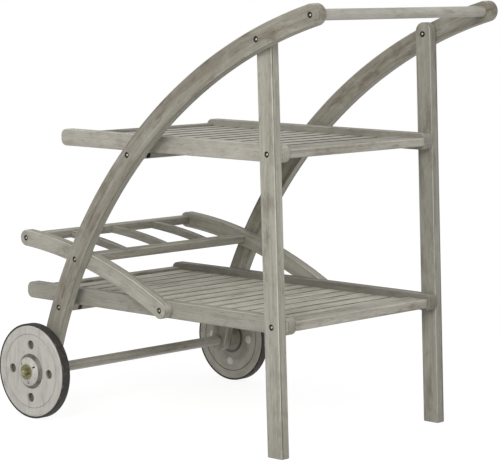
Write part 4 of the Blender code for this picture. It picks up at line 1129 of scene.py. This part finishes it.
class TEACART_OT_axle_fittings(CartPiece, bpy.types.Operator):
    """Steel rod, washers and domed cap nuts"""
    bl_idname = "tea_cart.axle_fittings"
    bl_label = "Axle Fittings"

    def make(self, plan):
        low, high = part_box("axle_rod")
        bar = rod(plan.axle, (high.z - low.z) / 2, low.y, high.y, 48, ROD_EASING)
        dress(plan, "axle_round_rod", bar, "rod_steel", ["axle_rod"], finish="bright_steel")
        radius = plan.fittings.washer_radius
        for side_name, side in SIDES.items():
            node = "axle_washer_" + side_name
            inner, outer = sorted(abs(corner.y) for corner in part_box(node))
            washer = ring(plan, side, [(BOW_BORE, inner), (radius, inner), (radius, outer),
                                       (BOW_BORE, outer)], METAL_EASING, 72, 2)
            dress(plan, side_name + "_washer", washer, "plated_steel", [node],
                  finish="zinc_yellow")
            self.make_cap_nut(plan, side_name, side)

    def make_cap_nut(self, plan, side_name, side):
        """Hexagon with a dome, which starts inside it."""
        node = "axle_cap_nut_" + side_name
        inner, tip = sorted(abs(corner.y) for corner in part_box(node))
        hex_top = inner + CAP_NUT_HEIGHT
        foot, collar = hex_top - OVERRUN, hex_top + CAP_NUT_COLLAR
        profile = [(0.0, foot), (CAP_NUT_DOME, foot), (CAP_NUT_DOME, collar)]
        profile += [(CAP_NUT_DOME * math.cos(turn), collar + (tip - collar) * math.sin(turn))
                    for turn in (QUARTER * step / 10 for step in range(1, 10))]
        profile.append((0.0, tip))
        dome = turned([(r, side * y) for r, y in profile], 48, plan.axle)
        corner = CAP_NUT_FLATS / 2 / math.cos(math.pi / 6)
        hexagon = rod(plan.axle, corner, side * inner, side * hex_top, 6)
        dress(plan, side_name + "_cap_nut", hexagon, "plated_steel", [node], METAL_EASING, 2,
              "zinc_dull", joins=[dome], smooth_angle=30.0)


class TEACART_OT_wheels(CartPiece, bpy.types.Operator):
    """Moulded discs and their tyres"""
    bl_idname = "tea_cart.wheels"
    bl_label = "Wheels"

    def make(self, plan):
        f = plan.fittings
        inner, outer = [corner.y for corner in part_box("tyre_right")]
        hub_inner, hub_outer = [corner.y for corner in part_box("wheel_disc_right")]
        face = outer + f.face_rise
        rim = f.wheel_radius - f.tyre_depth
        groove_low, groove_high = [f.groove_radius + way * f.groove_width / 2 for way in (-1, 1)]
        disc = [(DISC_BORE, hub_inner), (f.hub_inner_radius, hub_inner),
                (f.hub_inner_radius, inner), (groove_low, inner),
                (f.groove_radius, inner + INNER_GROOVE_DEPTH), (groove_high, inner), (rim, inner),
                (rim, outer), (rim - f.rim_lip, outer), (rim - f.rim_lip - f.face_rise, face),
                (groove_high, face), (f.groove_radius, face - OUTER_GROOVE_DEPTH),
                (groove_low, face), (f.hub_base_radius, face),
                (f.hub_shoulder_radius, face + f.hub_shoulder_height),
                (f.hub_top_radius, hub_outer), (DISC_BORE, hub_outer)]
        tyre = [(rim, inner), (f.wheel_radius, inner), (f.wheel_radius, outer), (rim, outer)]
        for side_name, side in SIDES.items():
            body = "wheel_" + side_name
            dress(plan, side_name + "_wheel_disc", ring(plan, side, disc, DISC_ROUNDING, 120),
                  "disc_plastic", ["wheel_disc_" + side_name],
                  cuts=[self.dimples(plan, side, face), self.hub_slots(plan, side, hub_outer)],
                  joins=[self.bosses(plan, side, inner)], smooth_angle=32.0, body=body)
            dress(plan, side_name + "_wheel_tyre", ring(plan, side, tyre, TYRE_ROUNDING, 120),
                  "tyre_rubber", ["tyre_" + side_name], smooth_angle=50.0, body=body)

    def dimple_centres(self, plan):
        spoke = Vector((plan.fittings.dimple_circle, 0.0))
        return [plan.axle + Matrix.Rotation(step * QUARTER, 2) @ spoke for step in range(4)]

    def dimples(self, plan, side, face):
        """Round recesses in the disc's outer face."""
        f = plan.fittings
        return together([rod(centre, f.dimple_radius, side * (face - f.dimple_depth),
                             side * (face + OVERRUN), 48) for centre in self.dimple_centres(plan)])

    def bosses(self, plan, side, inner):
        """Low rounded ends of the dimples on the disc's inner face."""
        rise, radius = plan.fittings.boss_rise, plan.fittings.dimple_radius
        profile = [(0.0, -rise), (radius * 0.6, -rise * 0.92), (radius * 0.85, -rise * 0.6),
                   (radius, 0.0), (radius, OVERRUN), (0.0, OVERRUN)]
        return together([turned([(r, side * (inner + y)) for r, y in profile], 48, centre)
                         for centre in self.dimple_centres(plan)])

    def hub_slots(self, plan, side, hub_outer):
        """Three short slots in the hub's cone, moulded in."""
        f, slots = plan.fittings, []
        half = f.hub_slot_width / 2
        section = rounded_box(Vector((f.hub_slot_start, -half)), Vector((f.hub_slot_end, half)),
                              half * 0.9, 5)
        for degrees in HUB_SLOT_ANGLES:
            turn = Matrix.Rotation(math.radians(degrees), 2)
            slots.append(board([plan.axle + turn @ point for point in section],
                               side * (hub_outer - HUB_SLOT_DEPTH), side * (hub_outer + OVERRUN)))
        return together(slots)


class TEACART_OT_bolts(CartPiece, bpy.types.Operator):
    """Bolt heads, the legs' closed nuts and barrel nuts"""
    bl_idname = "tea_cart.bolts"
    bl_label = "Bolts and Nuts"

    def make(self, plan):
        seats = []
        for carrier in ("bow", "leg", "rack_side_rail"):
            centres, face = plan.bolts(carrier)
            for side in SIDES.values():
                seat = side * (face - plan.fittings.counterbore_depth)
                seats += [(Vector((centre.x, seat, centre.y)), side) for centre in centres]
        closed = plan.leg_top_bolt
        seats += [(Vector((closed.x, side * plan.leg_inner, closed.y)), -side)
                  for side in SIDES.values()]
        fit(self.bolt_heads(plan, seats), "plated_steel", ())
        radius, reach = plan.fittings.nut_radius, plan.sizes.stretcher_width / 2 - NUT_SINK
        recess = reach - NUT_RECESS_DEPTH
        nut = [(0.0, 0.0), (radius, 0.0), (radius, reach - NUT_CHAMFER),
               (radius - NUT_CHAMFER, reach), (NUT_RECESS_RADIUS, reach),
               (NUT_RECESS_RADIUS - NUT_CHAMFER, recess), (0.0, recess)]
        # The upper nuts in nearly black steel, painted shade; the lower ones in red-brown oxide.
        for name, finish in (("upper", "dark_steel"), ("lower", "oxide_steel")):
            dress(plan, name + "_barrel_nuts", nut_pair(plan, plan.stretchers[name], nut),
                  "plated_steel", finish=finish)

    def bolt_heads(self, plan, seats):
        """One bolt head per seat: a nearly black flange, painted shade in the counterbore round the
        head, and a bright dome with a socket.
        """
        bench = GeometryBench("bolt_heads", {
            "Radius": plan.fittings.bolt_head_radius, "Dark": finish_for("dark_steel", plan),
            "Bright": finish_for("bright_steel", plan)})
        flange = bench.step("GeometryNodeMeshCylinder", {
            "Vertices": 32, "Side Segments": 1, "Radius": bench["Radius"],
            "Depth": FLANGE_THICKNESS})
        dome = bench.step("GeometryNodeMeshUVSphere", {
            "Segments": 24, "Rings": 12, "Radius": bench.times(bench["Radius"], 0.50)})
        socket = bench.step("GeometryNodeMeshCylinder", {
            "Vertices": 6, "Side Segments": 1, "Radius": bench.times(bench["Radius"], 0.26),
            "Depth": 0.0040})
        dome = bench.step("GeometryNodeMeshBoolean", {
            0: bench.moved(dome, 0.0003, (1.0, 1.0, 0.62)), 1: bench.moved(socket, 0.0030)},
            operation="DIFFERENCE")
        dome = bench.step("GeometryNodeStoreNamedAttribute", {
            "Geometry": dome, "Name": "bright", "Value": True}, data_type="BOOLEAN", domain="FACE")
        head = bench.step("GeometryNodeJoinGeometry", {"Geometry": flange})
        bench.tree.links.new(dome, head.node.inputs[0])
        seats_mesh = bmesh.new()
        side_layer = seats_mesh.verts.layers.float.new("side")
        for place, side in seats:
            seats_mesh.verts.new(place)[side_layer] = side
        angle = bench.times(bench.attribute("side", "FLOAT"), -QUARTER)
        turn = bench.step("FunctionNodeEulerToRotation", {0: bench.combine(angle, 0.0, 0.0)})
        row = bench.step("GeometryNodeInstanceOnPoints", {
            "Points": bench["Geometry"], "Instance": bench.moved(head, FLANGE_THICKNESS / 2),
            "Rotation": turn})
        row = bench.step("GeometryNodeSetMaterial", {
            "Geometry": bench.clad(row, "Dark"), "Material": bench["Bright"],
            "Selection": bench.attribute("bright", "BOOLEAN")})
        return bench.finish("bolt_heads", row, seats_mesh)


class TEACART_OT_studio(bpy.types.Operator):
    """Pale floor, soft light and the camera"""
    bl_idname = "tea_cart.studio"
    bl_label = "Studio"
    bl_options = {"REGISTER", "UNDO"}

    def execute(self, context):
        scene = context.scene
        studio = scene.tea_cart_studio
        self.add_camera(scene, studio)
        self.add_floor(studio)
        self.add_lamp(scene, "key_lamp", studio.key_power)
        self.add_lamp(scene, "fill_lamp", studio.fill_power)
        self.light_world(scene, studio)
        scene.view_settings.view_transform = "Standard"
        return {"FINISHED"}

    def add_camera(self, scene, studio):
        data = bpy.data.cameras.new("photo_camera")
        data.sensor_width = 36.0
        data.lens = studio.focal_length
        data.clip_end = 100.0
        camera = bpy.data.objects.new("photo_camera", data)
        scene.collection.objects.link(camera)
        place = Vector(studio.camera_place) + Vector((CartPlan(scene).foot.x, 0.0, 0.0))
        placing = Matrix.Translation(place)
        for angle, axis in ((studio.camera_yaw, "Z"), (QUARTER + studio.camera_pitch, "X"),
                            (studio.camera_roll, "Z")):
            placing = placing @ Matrix.Rotation(angle, 4, axis)
        camera.matrix_world = placing
        scene.camera = camera

    def add_floor(self, studio):
        mesh = bmesh.new()
        bmesh.ops.create_circle(mesh, cap_ends=True, segments=96, radius=studio.floor_radius)
        floor = new_object("studio_floor", mesh)
        material = bpy.data.materials.new("floor_paper")
        material.use_nodes = True
        material.node_tree.nodes.clear()
        bench = NodeBench(material.node_tree)
        paper = bench.step("ShaderNodeBsdfDiffuse", {"Color": (*[FLOOR_GREY] * 3, 1.0)})
        strength = bench.spread(self.seen(bench), 0.0, 1.0, studio.floor_glow, FLOOR_SEEN)
        glow = bench.step("ShaderNodeEmission", {"Strength": strength})
        both = bench.step("ShaderNodeAddShader", {0: paper, 1: glow})
        bench.add("ShaderNodeOutputMaterial", {"Surface": both})
        floor.data.materials.append(material)
        floor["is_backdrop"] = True

    def seen(self, bench):
        """One for rays that look at a surface, straight or by way of gloss or glass."""
        path = bench.add("ShaderNodeLightPath").outputs
        looks = bench.maths("MAXIMUM", path["Is Camera Ray"], path["Is Glossy Ray"])
        return bench.maths("MAXIMUM", looks, path["Is Transmission Ray"])

    def add_lamp(self, scene, name, energy):
        data = bpy.data.lights.new(name, "AREA")
        data.shape = "DISK"
        data.size = LAMP_SIZE
        data.energy = energy
        lamp = bpy.data.objects.new(name, data)
        scene.collection.objects.link(lamp)
        lamp.location = LAMPS[name]
        view = LAMP_TARGET - Vector(LAMPS[name])
        lamp.rotation_euler = view.to_track_quat("-Z", "Y").to_euler()

    def light_world(self, scene, studio):
        world = bpy.data.worlds.new("soft_light")
        world.use_nodes = True
        scene.world = world
        bench = NodeBench(world.node_tree)
        background = world.node_tree.nodes["Background"]
        background.inputs["Color"].default_value = (1.0, 1.0, 1.0, 1.0)
        strength = bench.spread(self.seen(bench), 0.0, 1.0, studio.sky_strength, 1.0)
        bench.tree.links.new(strength, background.inputs["Strength"])


OPERATORS = (
    TEACART_OT_bows, TEACART_OT_legs, TEACART_OT_shelf_rails, TEACART_OT_slats,
    TEACART_OT_end_pieces, TEACART_OT_stretchers, TEACART_OT_rack, TEACART_OT_dowels,
    TEACART_OT_axle_fittings, TEACART_OT_wheels, TEACART_OT_bolts, TEACART_OT_studio,
)

GROUPS = {
    "tea_cart_sizes": TeaCartSizes,
    "tea_cart_fittings": TeaCartFittings,
    "tea_cart_colours": TeaCartColours,
    "tea_cart_studio": TeaCartStudio,
}


class TEACART_PT_panel(bpy.types.Panel):
    """Steps in which the cart is dressed"""
    bl_idname = "TEACART_PT_panel"
    bl_label = "Tea Cart"
    bl_space_type = "VIEW_3D"
    bl_region_type = "UI"
    bl_category = "Tea Cart"

    def draw(self, context):
        column = self.layout.column(align=True)
        for operator in OPERATORS:
            column.operator(operator.bl_idname)
        for name in GROUPS:
            group, box = getattr(context.scene, name), self.layout.box()
            for key in group.bl_rna.properties.keys():
                if key not in {"rna_type", "name"}:
                    box.prop(group, key)


def register():
    for group in GROUPS.values():
        bpy.utils.register_class(group)
    for name, group in GROUPS.items():
        setattr(bpy.types.Scene, name, PointerProperty(type=group))
    for operator in OPERATORS:
        bpy.utils.register_class(operator)
    bpy.utils.register_class(TEACART_PT_panel)


def unregister():
    bpy.utils.unregister_class(TEACART_PT_panel)
    for operator in reversed(OPERATORS):
        bpy.utils.unregister_class(operator)
    for name, group in GROUPS.items():
        delattr(bpy.types.Scene, name)
        bpy.utils.unregister_class(group)


def main():
    register()
    for operator in OPERATORS:
        group, name = operator.bl_idname.split(".")
        getattr(getattr(bpy.ops, group), name)()
    boxes = {"cad": CAD_BOX, "visual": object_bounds()}
    {key: [list(corner) for corner in box] for key, box in boxes.items()}


if __name__ == "__main__":
    main()
